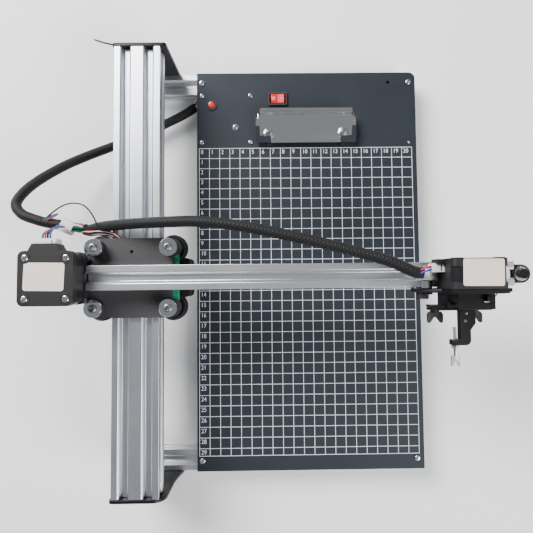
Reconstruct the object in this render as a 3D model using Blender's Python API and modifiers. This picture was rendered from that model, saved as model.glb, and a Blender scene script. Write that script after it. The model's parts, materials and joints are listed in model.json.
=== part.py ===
"""A desktop pen plotter: a gridded A4 board beside a V-slot rail, and a writing arm that slides over both.

The machine frame is in metres, +Z up. X = 0 is the middle of the rail, Y = 0 the middle of the board's
length, Z = 0 the table. One empty moves the whole machine so that its box stands centred on the origin.
"""
import math

import bmesh
import bpy
from mathutils import Matrix, Vector

MM = 0.001
GAP = 0.3 * MM  # between pieces that touch
RUNNING_GAP = 0.3 * MM  # between a turning piece and what it turns on

# Extrusions
SLOT_SIDE = 20 * MM
SLOT_MOUTH = 9.4 * MM
SLOT_NECK = 6.6 * MM
SLOT_LIP = 2.0 * MM
SLOT_CAVITY = 11.0 * MM
SLOT_DEPTH = 6.0 * MM
SLOT_FLOOR = 5.2 * MM
CORE_BORE = 2.1 * MM
RAIL_LENGTH = 387 * MM
ARM_LENGTH = 345 * MM

# Board and what stands on it
BEAM_HEIGHT = SLOT_SIDE
BOARD_WIDTH = 217 * MM
BOARD_THICKNESS = 3.7 * MM
BOARD_TO_RAIL = 23 * MM
BOARD_CORNER = 6 * MM
BOARD_SCREW_INSET = 7 * MM
SCREW_RADIUS = 1.5 * MM
SCREW_HEAD = 2.7 * MM
SCREW_HEAD_HEIGHT = 1.5 * MM
CONTROLLER_SPAN = 48 * MM
CONTROLLER_RISE = 8 * MM
CONTROLLER_THICKNESS = 1.6 * MM
SWITCH_WIDTH = 19 * MM
SWITCH_DEPTH = 13.6 * MM
ROCKER_WIDTH = 15.2 * MM
ROCKER_DEPTH = 9.2 * MM
SWITCH_X = 123 * MM
SWITCH_Y = 167 * MM
PAUSE_X = 57.4 * MM
PAUSE_Y = 161.6 * MM
PAUSE_RADIUS = 3.4 * MM
CLIP_WIDTH = 98 * MM
CLIP_X = 150.2 * MM
CLIP_Y = 137 * MM
CLIP_DEPTH = 31 * MM
CLIP_PIN_RADIUS = 1.25 * MM
CLIP_SHEET = 1.0 * MM

# Rail, its ends and its belt
RAIL_WIDTH = 2 * SLOT_SIDE
RAIL_RISE = 66 * MM
END_PLATE = 3 * MM
END_PLATE_LEFT = 2 * MM
END_PLATE_RIGHT = 5 * MM
BELT_WIDTH = 6 * MM
BELT_THICKNESS = 1.4 * MM
BELT_SINK = 1.4 * MM
PINION_RADIUS = 6.1 * MM
PINION_TEETH = 20

# Wheels
WHEEL_RADIUS = 11.95 * MM
WHEEL_WIDTH = 10.2 * MM
SMALL_WHEEL_RADIUS = 7.6 * MM
SMALL_WHEEL_WIDTH = 8.8 * MM
WHEEL_TREAD = 5.9 * MM
WHEEL_BITE = 1.2 * MM
AXLE_RADIUS = 2.5 * MM

# Y carriage
CARRIAGE_Y = -9 * MM
WHEEL_BASE = 50 * MM
PLATE_THICKNESS = 3 * MM
PLATE_RISE = 3.1 * MM
PLATE_LOBE = 8.5 * MM
PLATE_RIGHT = 32.5 * MM
PLATE_TAB = 40 * MM
TONGUE_WIDTH = 42 * MM
BUSH_RADIUS = 7 * MM
BUSH_HEIGHT = 9.5 * MM
WASHER_RADIUS = 7.5 * MM
WASHER_HEIGHT = 1.5 * MM
BOLT_HEAD = 4 * MM
BOLT_HEAD_HEIGHT = 2.4 * MM
NUT_RADIUS = 4.4 * MM
NUT_HEIGHT = 3.6 * MM
JUNCTION_THICKNESS = 1.6 * MM
JUNCTION_LEFT = -5 * MM
JUNCTION_RIGHT = 37.5 * MM
JUNCTION_WIDTH = 38 * MM

# Motors
MOTOR_SIDE = 42.3 * MM
MOTOR_BEVEL = 4.5 * MM
MOTOR_HOLES = 31 * MM
X_MOTOR_LENGTH = 30 * MM
STANDOFF_RADIUS = 3.2 * MM
PULLEY_ROOM = 14.4 * MM
Y_MOTOR_SIDE = 35.2 * MM
Y_MOTOR_LENGTH = 27.5 * MM
Z_MOTOR_DEPTH = 23 * MM
SHAFT_RADIUS = 2.5 * MM

# X arm
ARM_LEFT = -33 * MM
IDLER_REACH = 9 * MM
IDLER_PLATE = 3 * MM
IDLER_TIP = 7.5 * MM

# Pen carriage, at its right-hand stop
PEN_X = 268 * MM
PEN_WHEEL_BASE = 58 * MM
PEN_PLATE = 3 * MM
PEN_PLATE_GAP = 1.3 * MM
PEN_PLATE_LEFT = 36 * MM
PEN_PLATE_RIGHT = 38 * MM
PEN_PLATE_LEG = 24 * MM
FRAME_WEB = 1.5 * MM
FRAME_EAR = 3 * MM
ROD_RADIUS = 1.25 * MM
ROD_SPACING = 19 * MM
LIFT_WIDTH = 28 * MM
LIFT_DEPTH = 10 * MM
LIFT_HEIGHT = 22 * MM
LIFT_RISE = 100 * MM
CLAMP_WIDTH = 48 * MM
CLAMP_PLATE = 2 * MM
Z_PINION_WIDTH = 4 * MM
RACK_WIDTH = 4 * MM
RACK_HEIGHT = 28 * MM
WING_REACH = 6.5 * MM
WING_SHANK = 2 * MM
WING_LEFT_X = -19.5 * MM
WING_RIGHT_X = 12.5 * MM
WING_RISE = 106.3 * MM
HOLDER_X = -4 * MM
HOLDER_WALL = 8 * MM
HOLDER_REACH = 27 * MM
HOLDER_RISE = 113.3 * MM
HOLDER_FOOT = 4.5 * MM
PEN_ROOM = 13 * MM
CLAMP_SCREW_X = -7.5 * MM
CLAMP_SCREW_RADIUS = 1.25 * MM

# Harness
SLEEVE_RADIUS = 4.6 * MM
STRAP_REACH = 6 * MM
TAG_LENGTH = 19 * MM

# What follows from them
BOARD_TOP = BEAM_HEIGHT + GAP + BOARD_THICKNESS
BOARD_LEFT = RAIL_WIDTH / 2 + BOARD_TO_RAIL
BOARD_RIGHT = BOARD_LEFT + BOARD_WIDTH
HALF_LENGTH = RAIL_LENGTH / 2
RAIL_TOP = RAIL_RISE + SLOT_SIDE
RAIL_MIDDLE = RAIL_RISE + SLOT_SIDE / 2
PLATE_BOTTOM = RAIL_TOP + PLATE_RISE
PLATE_TOP = PLATE_BOTTOM + PLATE_THICKNESS
WHEEL_X = RAIL_WIDTH / 2 + WHEEL_RADIUS - WHEEL_BITE
ARM_BOTTOM = PLATE_TOP + GAP
ARM_TOP = ARM_BOTTOM + SLOT_SIDE
ARM_MIDDLE = ARM_BOTTOM + SLOT_SIDE / 2
ARM_RIGHT = ARM_LEFT + ARM_LENGTH
X_MOTOR_X = ARM_LEFT - 2 * GAP - MOTOR_SIDE / 2
X_MOTOR_BOTTOM = PLATE_TOP + GAP + PULLEY_ROOM
X_MOTOR_TOP = X_MOTOR_BOTTOM + X_MOTOR_LENGTH
TONGUE_LEFT = X_MOTOR_X - MOTOR_SIDE / 2
Y_PINION_X = RAIL_WIDTH / 2 - BELT_SINK + RUNNING_GAP + PINION_RADIUS
Y_MOTOR_TOP = RAIL_RISE - 0.5 * MM
IDLER_X = ARM_RIGHT + IDLER_REACH
BELT_RADIUS = PINION_RADIUS + 0.2 * MM
SMALL_WHEEL_RISE = ARM_TOP + SMALL_WHEEL_RADIUS - WHEEL_BITE
LOW_WHEEL_RISE = ARM_BOTTOM - SMALL_WHEEL_RADIUS + WHEEL_BITE
PEN_PLATE_Y = CARRIAGE_Y - SLOT_SIDE / 2 - PEN_PLATE_GAP
PEN_FRONT_Y = PEN_PLATE_Y - PEN_PLATE
Z_MOTOR_BOTTOM = ARM_TOP + 1.5 * MM
Z_SHAFT_RISE = Z_MOTOR_BOTTOM + MOTOR_SIDE / 2
FRAME_FRONT_Y = PEN_FRONT_Y - GAP - FRAME_WEB
LIFT_BACK_Y = FRAME_FRONT_Y - GAP
LIFT_FRONT_Y = LIFT_BACK_Y - LIFT_DEPTH
LIFT_TOP = LIFT_RISE + LIFT_HEIGHT
ROD_Y = LIFT_FRONT_Y + 3.2 * MM
CLAMP_BACK_Y = LIFT_FRONT_Y - GAP
CLAMP_FRONT_Y = CLAMP_BACK_Y - CLAMP_PLATE
HOLDER_FRONT_Y = CLAMP_FRONT_Y - HOLDER_REACH
HOLDER_TOP = LIFT_TOP
CLAMP_SCREW_RISE = (HOLDER_RISE + HOLDER_TOP) / 2
MACHINE_MIDDLE_X = (TONGUE_LEFT + IDLER_X + IDLER_TIP) / 2
MACHINE_MIDDLE_Y = STRAP_REACH / 2

COLOURS = {
    "aluminium": ((0.80, 0.81, 0.83), 0.35, 1.0),
    "zinc": ((0.72, 0.74, 0.76), 0.35, 1.0),
    "nickel": ((0.78, 0.78, 0.76), 0.2, 1.0),
    "steel": ((0.6, 0.6, 0.6), 0.3, 1.0),
    "board": ((0.03, 0.035, 0.045), 0.5, 0.0),
    "black_sheet": ((0.02, 0.02, 0.022), 0.45, 0.2),
    "textured_plate": ((0.07, 0.07, 0.075), 0.6, 0.4),
    "motor": ((0.015, 0.015, 0.017), 0.25, 0.3),
    "black_plastic": ((0.02, 0.02, 0.02), 0.5, 0.0),
    "rubber": ((0.02, 0.02, 0.02), 0.8, 0.0),
    "white_wheel": ((0.78, 0.77, 0.74), 0.45, 0.0),
    "red": ((0.6, 0.02, 0.02), 0.35, 0.0),
    "green_board": ((0.02, 0.35, 0.17), 0.4, 0.0),
    "beige": ((0.72, 0.66, 0.6), 0.7, 0.0),
    "sleeve": ((0.02, 0.02, 0.02), 0.75, 0.0),
}


# Scene set-up


def clear_scene():
    for item in list(bpy.data.objects):
        bpy.data.objects.remove(item, do_unlink=True)


def new_collection(name):
    group = bpy.data.collections.new(name)
    bpy.context.scene.collection.children.link(group)
    return group


clear_scene()
PARTS = new_collection("pen_plotter")
CUTTERS = new_collection("cutters")
MACHINE = bpy.data.objects.new("machine", None)
MACHINE.location = (-MACHINE_MIDDLE_X, -MACHINE_MIDDLE_Y, 0)
PARTS.objects.link(MACHINE)


def material(name, finish):
    colour, roughness, metallic = COLOURS[finish]
    made = bpy.data.materials.new(name)
    made.use_nodes = True
    shader = made.node_tree.nodes["Principled BSDF"]
    shader.inputs["Base Color"].default_value = (*colour, 1)
    shader.inputs["Roughness"].default_value = roughness
    shader.inputs["Metallic"].default_value = metallic
    return made


# Shapes: each returns a mesh


def finished(bm, name):
    mesh = bpy.data.meshes.new(name)
    bm.to_mesh(mesh)
    bm.free()
    return mesh


def box(low, high):
    """A block between two opposite corners."""
    low, high = Vector(low), Vector(high)
    bm = bmesh.new()
    place = Matrix.Translation((low + high) / 2) @ Matrix.Diagonal((*(high - low), 1))
    bmesh.ops.create_cube(bm, size=1, matrix=place)
    return finished(bm, "box")


def rod(radius, start, end, sides=16, end_radius=None):
    """A cylinder, or a cone, from one point to another."""
    start, end = Vector(start), Vector(end)
    along = end - start
    turn = along.to_track_quat("Z", "Y").to_matrix().to_4x4()
    bm = bmesh.new()
    bmesh.ops.create_cone(
        bm,
        cap_ends=True,
        segments=sides,
        radius1=radius,
        radius2=radius if end_radius is None else end_radius,
        depth=along.length,
        matrix=Matrix.Translation((start + end) / 2) @ turn,
    )
    for face in bm.faces:
        face.smooth = len(face.verts) == 4
    return finished(bm, "rod")


def prism(outlines, low, high, axis="Z"):
    """Flat closed outlines, a first one and the holes in it, drawn out along an axis from low to high.

    Along Z an outline is (x, y), along X it is (y, z), and along Y it is (x, z).
    """
    curve = bpy.data.curves.new("outline", "CURVE")
    curve.dimensions = "2D"
    curve.fill_mode = "BOTH"
    curve.extrude = (high - low) / 2
    for outline in outlines:
        spline = curve.splines.new("POLY")
        spline.points.add(len(outline) - 1)
        for point, (u, v) in zip(spline.points, outline):
            point.co = (u, v, 0, 1)
        spline.use_cyclic_u = True
    holder = bpy.data.objects.new("outline", curve)
    CUTTERS.objects.link(holder)
    bpy.context.view_layer.update()
    mesh = bpy.data.meshes.new_from_object(holder.evaluated_get(bpy.context.evaluated_depsgraph_get()))
    bpy.data.objects.remove(holder)
    middle = (low + high) / 2
    turns = {
        "Z": Matrix.Identity(4),
        "X": Matrix(((0, 0, 1, 0), (1, 0, 0, 0), (0, 1, 0, 0), (0, 0, 0, 1))),
        "Y": Matrix(((1, 0, 0, 0), (0, 0, -1, 0), (0, 1, 0, 0), (0, 0, 0, 1))),
    }
    offset = {"Z": (0, 0, middle), "X": (middle, 0, 0), "Y": (0, middle, 0)}[axis]
    bm = bmesh.new()
    bm.from_mesh(mesh)
    bmesh.ops.remove_doubles(bm, verts=bm.verts, dist=0.00001)
    bmesh.ops.transform(bm, matrix=Matrix.Translation(offset) @ turns[axis], verts=bm.verts)
    bmesh.ops.recalc_face_normals(bm, faces=bm.faces)
    bpy.data.meshes.remove(mesh)
    return finished(bm, "prism")


def arc(middle_x, middle_y, radius, start, end, steps=6):
    """Points along an arc, from one angle to another in degrees."""
    angles = [math.radians(start + (end - start) * n / steps) for n in range(steps + 1)]
    return [(middle_x + radius * math.cos(a), middle_y + radius * math.sin(a)) for a in angles]


def rounded_box(width, depth, corner, middle=(0, 0), steps=4):
    """The outline of a rectangle with round corners."""
    x, y = width / 2 - corner, depth / 2 - corner
    corners = ((x, y, 0), (-x, y, 90), (-x, -y, 180), (x, -y, 270))
    return [
        (middle[0] + px, middle[1] + py)
        for cx, cy, start in corners
        for px, py in arc(cx, cy, corner, start, start + 90, steps)
    ]


def chamfered_square(side, chamfer):
    return rounded_box(side, side, chamfer, steps=1)


def piece(name, finish, first, adds=(), cuts=(), at=(0, 0, 0)):
    """One part of the machine: a mesh, with others joined to it and cut from it, in the machine frame."""
    made = bpy.data.objects.new(name, first)
    made.data.name = name
    made.data.materials.clear()
    made.data.materials.append(material(name, finish))
    made.parent = MACHINE
    made.location = at
    PARTS.objects.link(made)
    for operation, meshes in (("UNION", adds), ("DIFFERENCE", cuts)):
        for number, mesh in enumerate(meshes):
            tool = bpy.data.objects.new(f"{name}_{operation.lower()}_{number}", mesh)
            tool.parent = MACHINE
            tool.location = at
            tool.hide_render = True
            tool.display_type = "WIRE"
            CUTTERS.objects.link(tool)
            change = made.modifiers.new(tool.name, "BOOLEAN")
            change.operation = operation
            change.solver = "EXACT"
            change.object = tool
    return made


def turned(name, finish, profile, at, axis="Z", steps=24):
    """A turned piece: a closed profile of (radius, height), running down its outer side, about an axis."""
    mesh = bpy.data.meshes.new(name)
    bm = bmesh.new()
    points = [bm.verts.new((radius, 0, height)) for radius, height in profile]
    for start, end in zip(points, points[1:] + points[:1]):
        bm.edges.new((start, end))
    bm.to_mesh(mesh)
    bm.free()
    made = piece(name, finish, mesh, at=at)
    screw = made.modifiers.new("turn", "SCREW")
    screw.steps = steps
    screw.render_steps = steps
    screw.use_merge_vertices = True
    screw.merge_threshold = 0.00001
    screw.use_smooth_shade = False
    made.rotation_euler = {"Z": (0, 0, 0), "Y": (-math.pi / 2, 0, 0)}[axis]
    return made


def tube(name, finish, radius, route, steps, resolution=2):
    """A sleeve along a smooth curve through the points of a route chosen by hand."""
    curve = bpy.data.curves.new(name, "CURVE")
    curve.dimensions = "3D"
    curve.bevel_depth = radius
    curve.bevel_resolution = resolution
    curve.use_fill_caps = True
    points = smooth_route(route, steps)
    spline = curve.splines.new("POLY")
    spline.points.add(len(points) - 1)
    for point, place in zip(spline.points, points):
        point.co = (*place, 1)
    curve.materials.append(material(name, finish))
    made = bpy.data.objects.new(name, curve)
    made.parent = MACHINE
    PARTS.objects.link(made)
    return made


def smooth_route(route, steps):
    """Points spread along a Catmull-Rom curve through a route, with a few steps to each of its stretches."""
    places = [Vector(p) * MM for p in route]
    ends = [2 * places[0] - places[1], *places, 2 * places[-1] - places[-2]]
    points = []
    for before, start, end, after in zip(ends, ends[1:], ends[2:], ends[3:]):
        for n in range(steps):
            t = n / steps
            points.append(
                0.5
                * (
                    2 * start
                    + (end - before) * t
                    + (2 * before - 5 * start + 4 * end - after) * t**2
                    + (3 * start - before - 3 * end + after) * t**3
                )
            )
    return [*points, places[-1]]


# Extrusions


def slot_side():
    """One side of an extrusion, from its left corner: a V mouth, a neck, and the cavity behind it."""
    half = SLOT_SIDE / 2
    neck = half - (SLOT_MOUTH - SLOT_NECK) / 2
    lip = half - SLOT_LIP
    floor = half - SLOT_DEPTH
    shoulder = floor + (SLOT_CAVITY - SLOT_FLOOR) / 2
    left = [
        (-SLOT_MOUTH / 2, half),
        (-SLOT_NECK / 2, neck),
        (-SLOT_NECK / 2, lip),
        (-SLOT_CAVITY / 2, lip),
        (-SLOT_CAVITY / 2, shoulder),
        (-SLOT_FLOOR / 2, floor),
    ]
    return left + [(-x, y) for x, y in reversed(left)]


def turn_points(points, quarter_turns):
    for _ in range(quarter_turns):
        points = [(y, -x) for x, y in points]
    return points


def move_points(points, x, y):
    return [(px + x, py + y) for px, py in points]


def bore_outline(x=0.0, y=0.0):
    return list(reversed(arc(x, y, CORE_BORE, 0, 330, 11)))


def square_profile():
    """The outline of a 20 mm square extrusion and its core bore."""
    half = SLOT_SIDE / 2
    outline = []
    for turn in range(4):
        outline += turn_points([(-half, half), *slot_side()], turn)
    return [outline, bore_outline()]


def flat_profile():
    """The outline of a flat 40 by 20 mm extrusion: two slots above, two below and one at each side."""
    half, wide = SLOT_SIDE / 2, RAIL_WIDTH / 2
    top = [(-wide, half)]
    for x in (-half, half):
        top += move_points(slot_side(), x, 0)
    right = [(wide, half), *move_points(turn_points(slot_side(), 1), half, 0)]
    outline = top + right
    outline += [(-x, -y) for x, y in outline]
    return [outline, bore_outline(-half), bore_outline(half)]


# Base


def build_beams():
    for name, side in (("rear_cross_beam", 1), ("front_cross_beam", -1)):
        middle_y = side * (HALF_LENGTH - SLOT_SIDE / 2)
        profile = [move_points(o, middle_y, BEAM_HEIGHT / 2) for o in square_profile()]
        screw_x = (BOARD_LEFT + BOARD_SCREW_INSET - 2 * MM, BOARD_RIGHT - BOARD_SCREW_INSET)
        holes = [
            rod(SCREW_RADIUS + GAP, (x, middle_y, BEAM_HEIGHT / 2), (x, middle_y, BOARD_TOP)) for x in screw_x
        ]
        piece(name, "aluminium", prism(profile, -RAIL_WIDTH / 2, BOARD_RIGHT - MM, "X"), cuts=holes)
        for number, x in enumerate(screw_x):
            label = number + (1 if side == 1 else 3)
            head = BOARD_TOP + GAP
            shank = rod(SCREW_RADIUS, (x, middle_y, 12 * MM), (x, middle_y, head + 0.5 * MM), 12)
            top = (x, middle_y, head + SCREW_HEAD_HEIGHT)
            cap = rod(SCREW_HEAD, (x, middle_y, head), top, end_radius=SCREW_HEAD * 0.8)
            piece(f"board_screw_{label}", "zinc", cap, adds=[shank])


def controller_posts():
    """Where the screws that carry the controller stand."""
    left = BOARD_LEFT + BOARD_SCREW_INSET - 2 * MM
    rear = HALF_LENGTH - SLOT_SIDE - 2.7 * MM
    return [(x, y) for x in (left, left + CONTROLLER_SPAN) for y in (rear, rear - CONTROLLER_SPAN + MM)]


def build_board():
    half = HALF_LENGTH
    outline = [(BOARD_LEFT, half), (BOARD_LEFT, -half), (BOARD_RIGHT, -half)]
    outline += arc(BOARD_RIGHT - BOARD_CORNER, half - BOARD_CORNER, BOARD_CORNER, 0, 90)
    bottom = BEAM_HEIGHT + GAP
    middle_y = HALF_LENGTH - SLOT_SIDE / 2
    screw_x = (BOARD_LEFT + BOARD_SCREW_INSET - 2 * MM, BOARD_RIGHT - BOARD_SCREW_INSET)
    holes = [(x, side * middle_y) for x in screw_x for side in (1, -1)] + controller_posts()
    low, high = bottom - MM, BOARD_TOP + MM
    cuts = [rod(SCREW_RADIUS + GAP, (x, y, low), (x, y, high), 12) for x, y in holes]
    for x, y in ((BOARD_RIGHT - 27 * MM, middle_y), (BOARD_RIGHT - BOARD_SCREW_INSET, 123.3 * MM)):
        cuts.append(rod(1.6 * MM, (x, y, low), (x, y, high), 12))
    cuts.append(rod(PAUSE_RADIUS + 1.2 * MM + GAP, (PAUSE_X, PAUSE_Y, low), (PAUSE_X, PAUSE_Y, high)))
    half_w, half_d = SWITCH_WIDTH / 2 - 1.5 * MM + GAP, SWITCH_DEPTH / 2 - 1.2 * MM + GAP
    switch_low = (SWITCH_X - half_w, SWITCH_Y - half_d, low)
    cuts.append(box(switch_low, (SWITCH_X + half_w, SWITCH_Y + half_d, high)))
    for x in clip_rivets():
        cuts.append(rod(2 * MM + GAP, (x, CLIP_Y - 6.5 * MM, low), (x, CLIP_Y - 6.5 * MM, high), 12))
    piece("writing_board", "board", prism([outline], bottom, BOARD_TOP), cuts=cuts)


def build_controller():
    """The control board under the writing board, with its four posts and their screw heads on top."""
    posts = controller_posts()
    low_x, high_x = posts[0][0] - 3.2 * MM, posts[-1][0] + 3.5 * MM
    high_y, low_y = posts[0][1] + 2.5 * MM, posts[1][1] - 3.5 * MM
    top = CONTROLLER_RISE + CONTROLLER_THICKNESS
    sheet = box((low_x, low_y, CONTROLLER_RISE), (high_x, high_y, top))
    adds = []
    head = BOARD_TOP + GAP
    for x, y in posts:
        adds.append(rod(2.4 * MM, (x, y, top - 0.5 * MM), (x, y, BEAM_HEIGHT)))
        adds.append(rod(SCREW_RADIUS, (x, y, top), (x, y, head + 0.5 * MM), 12))
        crown = (x, y, head + SCREW_HEAD_HEIGHT)
        adds.append(rod(SCREW_HEAD, (x, y, head), crown, end_radius=SCREW_HEAD * 0.8))
    chip = (low_x + 14 * MM, low_y + 12 * MM, top - 0.3 * MM)
    adds.append(box(chip, (chip[0] + 26 * MM, chip[1] + 22 * MM, top + 5 * MM)))
    piece("controller_board", "green_board", sheet, adds=adds)


def build_switch():
    """The power switch: a bezel clipped in the board, and a rocker on a cross axis."""
    well_w, well_d = ROCKER_WIDTH / 2 + GAP, ROCKER_DEPTH / 2 + GAP
    neck_w, neck_d = SWITCH_WIDTH / 2 - 1.5 * MM, SWITCH_DEPTH / 2 - 1.2 * MM
    flange = prism([rounded_box(SWITCH_WIDTH, SWITCH_DEPTH, 1.2 * MM)], GAP, 2.2 * MM)
    body = box((-neck_w, -neck_d, -16 * MM), (neck_w, neck_d, 1.0 * MM))
    well = box((-well_w, -well_d, -6.5 * MM), (well_w, well_d, 4 * MM))
    at = (SWITCH_X, SWITCH_Y, BOARD_TOP)
    piece("switch_bezel", "black_plastic", flange, adds=[body], cuts=[well], at=at)
    pivot_drop = 2.6 * MM
    side = ROCKER_WIDTH / 2 - 1.0 * MM
    outline = [(-side, 1.5 * MM), (-side, 5.4 * MM), (0, 4.4 * MM), (side, 5.4 * MM), (side, 1.5 * MM)]
    outline.append((0, -2.6 * MM))
    rocker = prism([outline], -ROCKER_DEPTH / 2, ROCKER_DEPTH / 2, "Y")
    piece("power_rocker", "red", rocker, at=(SWITCH_X, SWITCH_Y, BOARD_TOP - pivot_drop))


def build_pause_button():
    inner, outer = PAUSE_RADIUS, PAUSE_RADIUS + 1.2 * MM
    bottom = -10 * MM
    collar = [(inner + GAP, bottom), (inner + GAP, 1.2 * MM), (outer + MM, 1.2 * MM), (outer + MM, GAP)]
    collar += [(outer, GAP), (outer, bottom)]
    turned("pause_collar", "zinc", collar, (PAUSE_X, PAUSE_Y, BOARD_TOP), steps=24)
    cap = rod(inner, (0, 0, -6 * MM), (0, 0, 2.4 * MM), 24)
    piece("pause_button", "red", cap, at=(PAUSE_X, PAUSE_Y, BOARD_TOP))


# Clip


def clip_rivets():
    return (CLIP_X - 36.5 * MM, CLIP_X + 36 * MM)


def build_clip():
    """A clipboard clip: a riveted base with two pin ears, a sprung jaw plate over it, and corner pads."""
    half = CLIP_WIDTH / 2
    rivet_y = -6.5 * MM
    pin_y, pin_z = 8.0 * MM, 6.2 * MM
    ear_out = 27 * MM
    base = box((-40 * MM, -9 * MM, GAP), (40 * MM, 11 * MM, GAP + CLIP_SHEET))
    adds = []
    for x in (-ear_out, ear_out):
        adds.append(box((x - 0.6 * MM, 4.5 * MM, GAP + 0.4 * MM), (x + 0.6 * MM, 11 * MM, pin_z + 2.2 * MM)))
    for x in clip_rivets():
        x -= CLIP_X
        adds.append(rod(2 * MM, (x, rivet_y, -BOARD_THICKNESS - MM), (x, rivet_y, 1.6 * MM), 12))
    adds.append(rod(CLIP_PIN_RADIUS, (-30 * MM, pin_y, pin_z), (30 * MM, pin_y, pin_z), 12))
    at = (CLIP_X, CLIP_Y, BOARD_TOP)
    piece("clip_base", "nickel", base, adds=adds, at=at)

    front, rear, sheet = -CLIP_DEPTH / 2, CLIP_DEPTH / 2, CLIP_SHEET
    # The jaw's section, from its front lip over the pin to the finger lip at the rear, and back underneath.
    top = [(front, 2.6 * MM), (front + 2 * MM, 3.6 * MM), (-4 * MM, 8.2 * MM), (4 * MM, 10.4 * MM)]
    top += [(10 * MM, 10.6 * MM), (13 * MM, 12.4 * MM), (rear, 16.5 * MM)]
    section = top + [(y + 0.4 * sheet, z - sheet) for y, z in reversed(top)]
    jaw = prism([section], -half, half, "X")
    cheeks = []
    for x in (-30 * MM, 28.8 * MM):
        cheeks.append(box((x, 4.5 * MM, 3.4 * MM), (x + 1.2 * MM, 11.5 * MM, 10.2 * MM)))
    bores = [
        rod(CLIP_PIN_RADIUS + RUNNING_GAP, (x, pin_y, pin_z), (x + 4 * MM, pin_y, pin_z), 12)
        for x in (-32 * MM, 28 * MM)
    ]
    windows = [
        prism([rounded_box(13 * MM, 12 * MM, 2 * MM, (x - CLIP_X, rivet_y))], 0, 12 * MM)
        for x in clip_rivets()
    ]
    to_pin = Matrix.Translation((0, -pin_y, -pin_z))
    for mesh in (jaw, *cheeks, *bores, *windows):
        mesh.transform(to_pin)
    on_pin = (CLIP_X, CLIP_Y + pin_y, BOARD_TOP + pin_z)
    piece("clip_jaw", "nickel", jaw, adds=cheeks, cuts=[*bores, *windows], at=on_pin)

    inner, outer, reach = CLIP_PIN_RADIUS + GAP, 2.6 * MM, 22 * MM
    coil = [(inner, -reach), (inner, reach), (outer, reach), (outer, -reach)]
    spring = turned("clip_spring", "steel", coil, on_pin, steps=16)
    spring.rotation_euler = (0, math.pi / 2, 0)

    for name, side in (("clip_pad_left", -1), ("clip_pad_right", 1)):
        x = side * (half - 9.5 * MM)
        pad = prism([rounded_box(15 * MM, 7 * MM, 2 * MM, (x, -CLIP_DEPTH / 2 + 1.5 * MM))], GAP, MM)
        piece(name, "rubber", pad, at=at)


# Rail


def end_plate_outline(front):
    """An end plate seen along Y: square at the rear, round-shouldered with a flared foot at the front."""
    left, right = -RAIL_WIDTH / 2 - END_PLATE_LEFT, RAIL_WIDTH / 2 + END_PLATE_RIGHT
    corner, foot = (12 * MM, 4 * MM) if front else (3 * MM, 0)
    outline = arc(left + 3 * MM, RAIL_TOP - 3 * MM, 3 * MM, 180, 90, 4)
    outline += arc(right - corner, RAIL_TOP - corner, corner, 90, 0, 8)
    if front:
        outline += [(right, 42 * MM), (right + 1.4 * MM, 30 * MM)]
    return outline + [(right + foot, 16 * MM if front else 2 * MM), (right + foot, 0), (left, 0)]


def build_rail():
    profile = [move_points(o, 0, RAIL_MIDDLE) for o in flat_profile()]
    piece("y_rail", "aluminium", prism(profile, -HALF_LENGTH, HALF_LENGTH, "Y"))
    for name, side in (("rear_end_plate", 1), ("front_end_plate", -1)):
        inner = HALF_LENGTH + GAP
        low, high = sorted((side * inner, side * (inner + END_PLATE)))
        bolts = []
        outer = side * (inner + END_PLATE)
        for x, z in ((-10 * MM, RAIL_MIDDLE), (10 * MM, RAIL_MIDDLE), (0, BEAM_HEIGHT / 2)):
            bolts.append(rod(4.6 * MM, (x, outer - side * MM, z), (x, outer + side * 1.2 * MM, z)))
        piece(name, "black_sheet", prism([end_plate_outline(side < 0)], low, high, "Y"), adds=bolts)
    belt_outer = RAIL_WIDTH / 2 - BELT_SINK
    low = (belt_outer - BELT_THICKNESS, -HALF_LENGTH, RAIL_MIDDLE - BELT_WIDTH / 2)
    piece("y_belt", "rubber", box(low, (belt_outer, HALF_LENGTH, RAIL_MIDDLE + BELT_WIDTH / 2)))
    strap_y = HALF_LENGTH + GAP + END_PLATE + GAP
    strap = [(-17, 0), (-22, 0.4), (-31, 2.4), (-40, STRAP_REACH / MM - 0.6)]
    outline = [(x * MM, strap_y + y * MM) for x, y in strap]
    outline += [(x, y + 0.8 * MM) for x, y in reversed(outline)]
    piece("tie_strap", "black_plastic", prism([outline], RAIL_TOP - 9 * MM, RAIL_TOP - 6.2 * MM))


# Wheels, pulleys and pinions


def wheel_profile(radius, width):
    """Half of a V wheel's section: a flat tread between two 45 degree flanks, about a bore."""
    half, tread = width / 2, WHEEL_TREAD / 2
    flank = radius - (half - tread)
    bore = AXLE_RADIUS + RUNNING_GAP
    return [(bore, -half), (bore, half), (flank, half), (radius, tread), (radius, -tread), (flank, -half)]


def toothed(name, finish, teeth, radius, tooth, width, bore, at, axis="Z"):
    """A pulley or pinion: a toothed ring on a bore, centred on its own origin."""
    outline = []
    for n in range(teeth):
        root = radius - tooth
        for share, reach in ((-0.28, root), (-0.18, radius), (0.18, radius), (0.28, root)):
            a = 2 * math.pi * (n + share) / teeth
            outline.append((reach * math.cos(a), reach * math.sin(a)))
    hole = [] if bore is None else [list(reversed(arc(0, 0, bore, 0, 330, 11)))]
    return piece(name, finish, prism([outline, *hole], -width / 2, width / 2, axis), at=at)


# Y carriage


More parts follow.
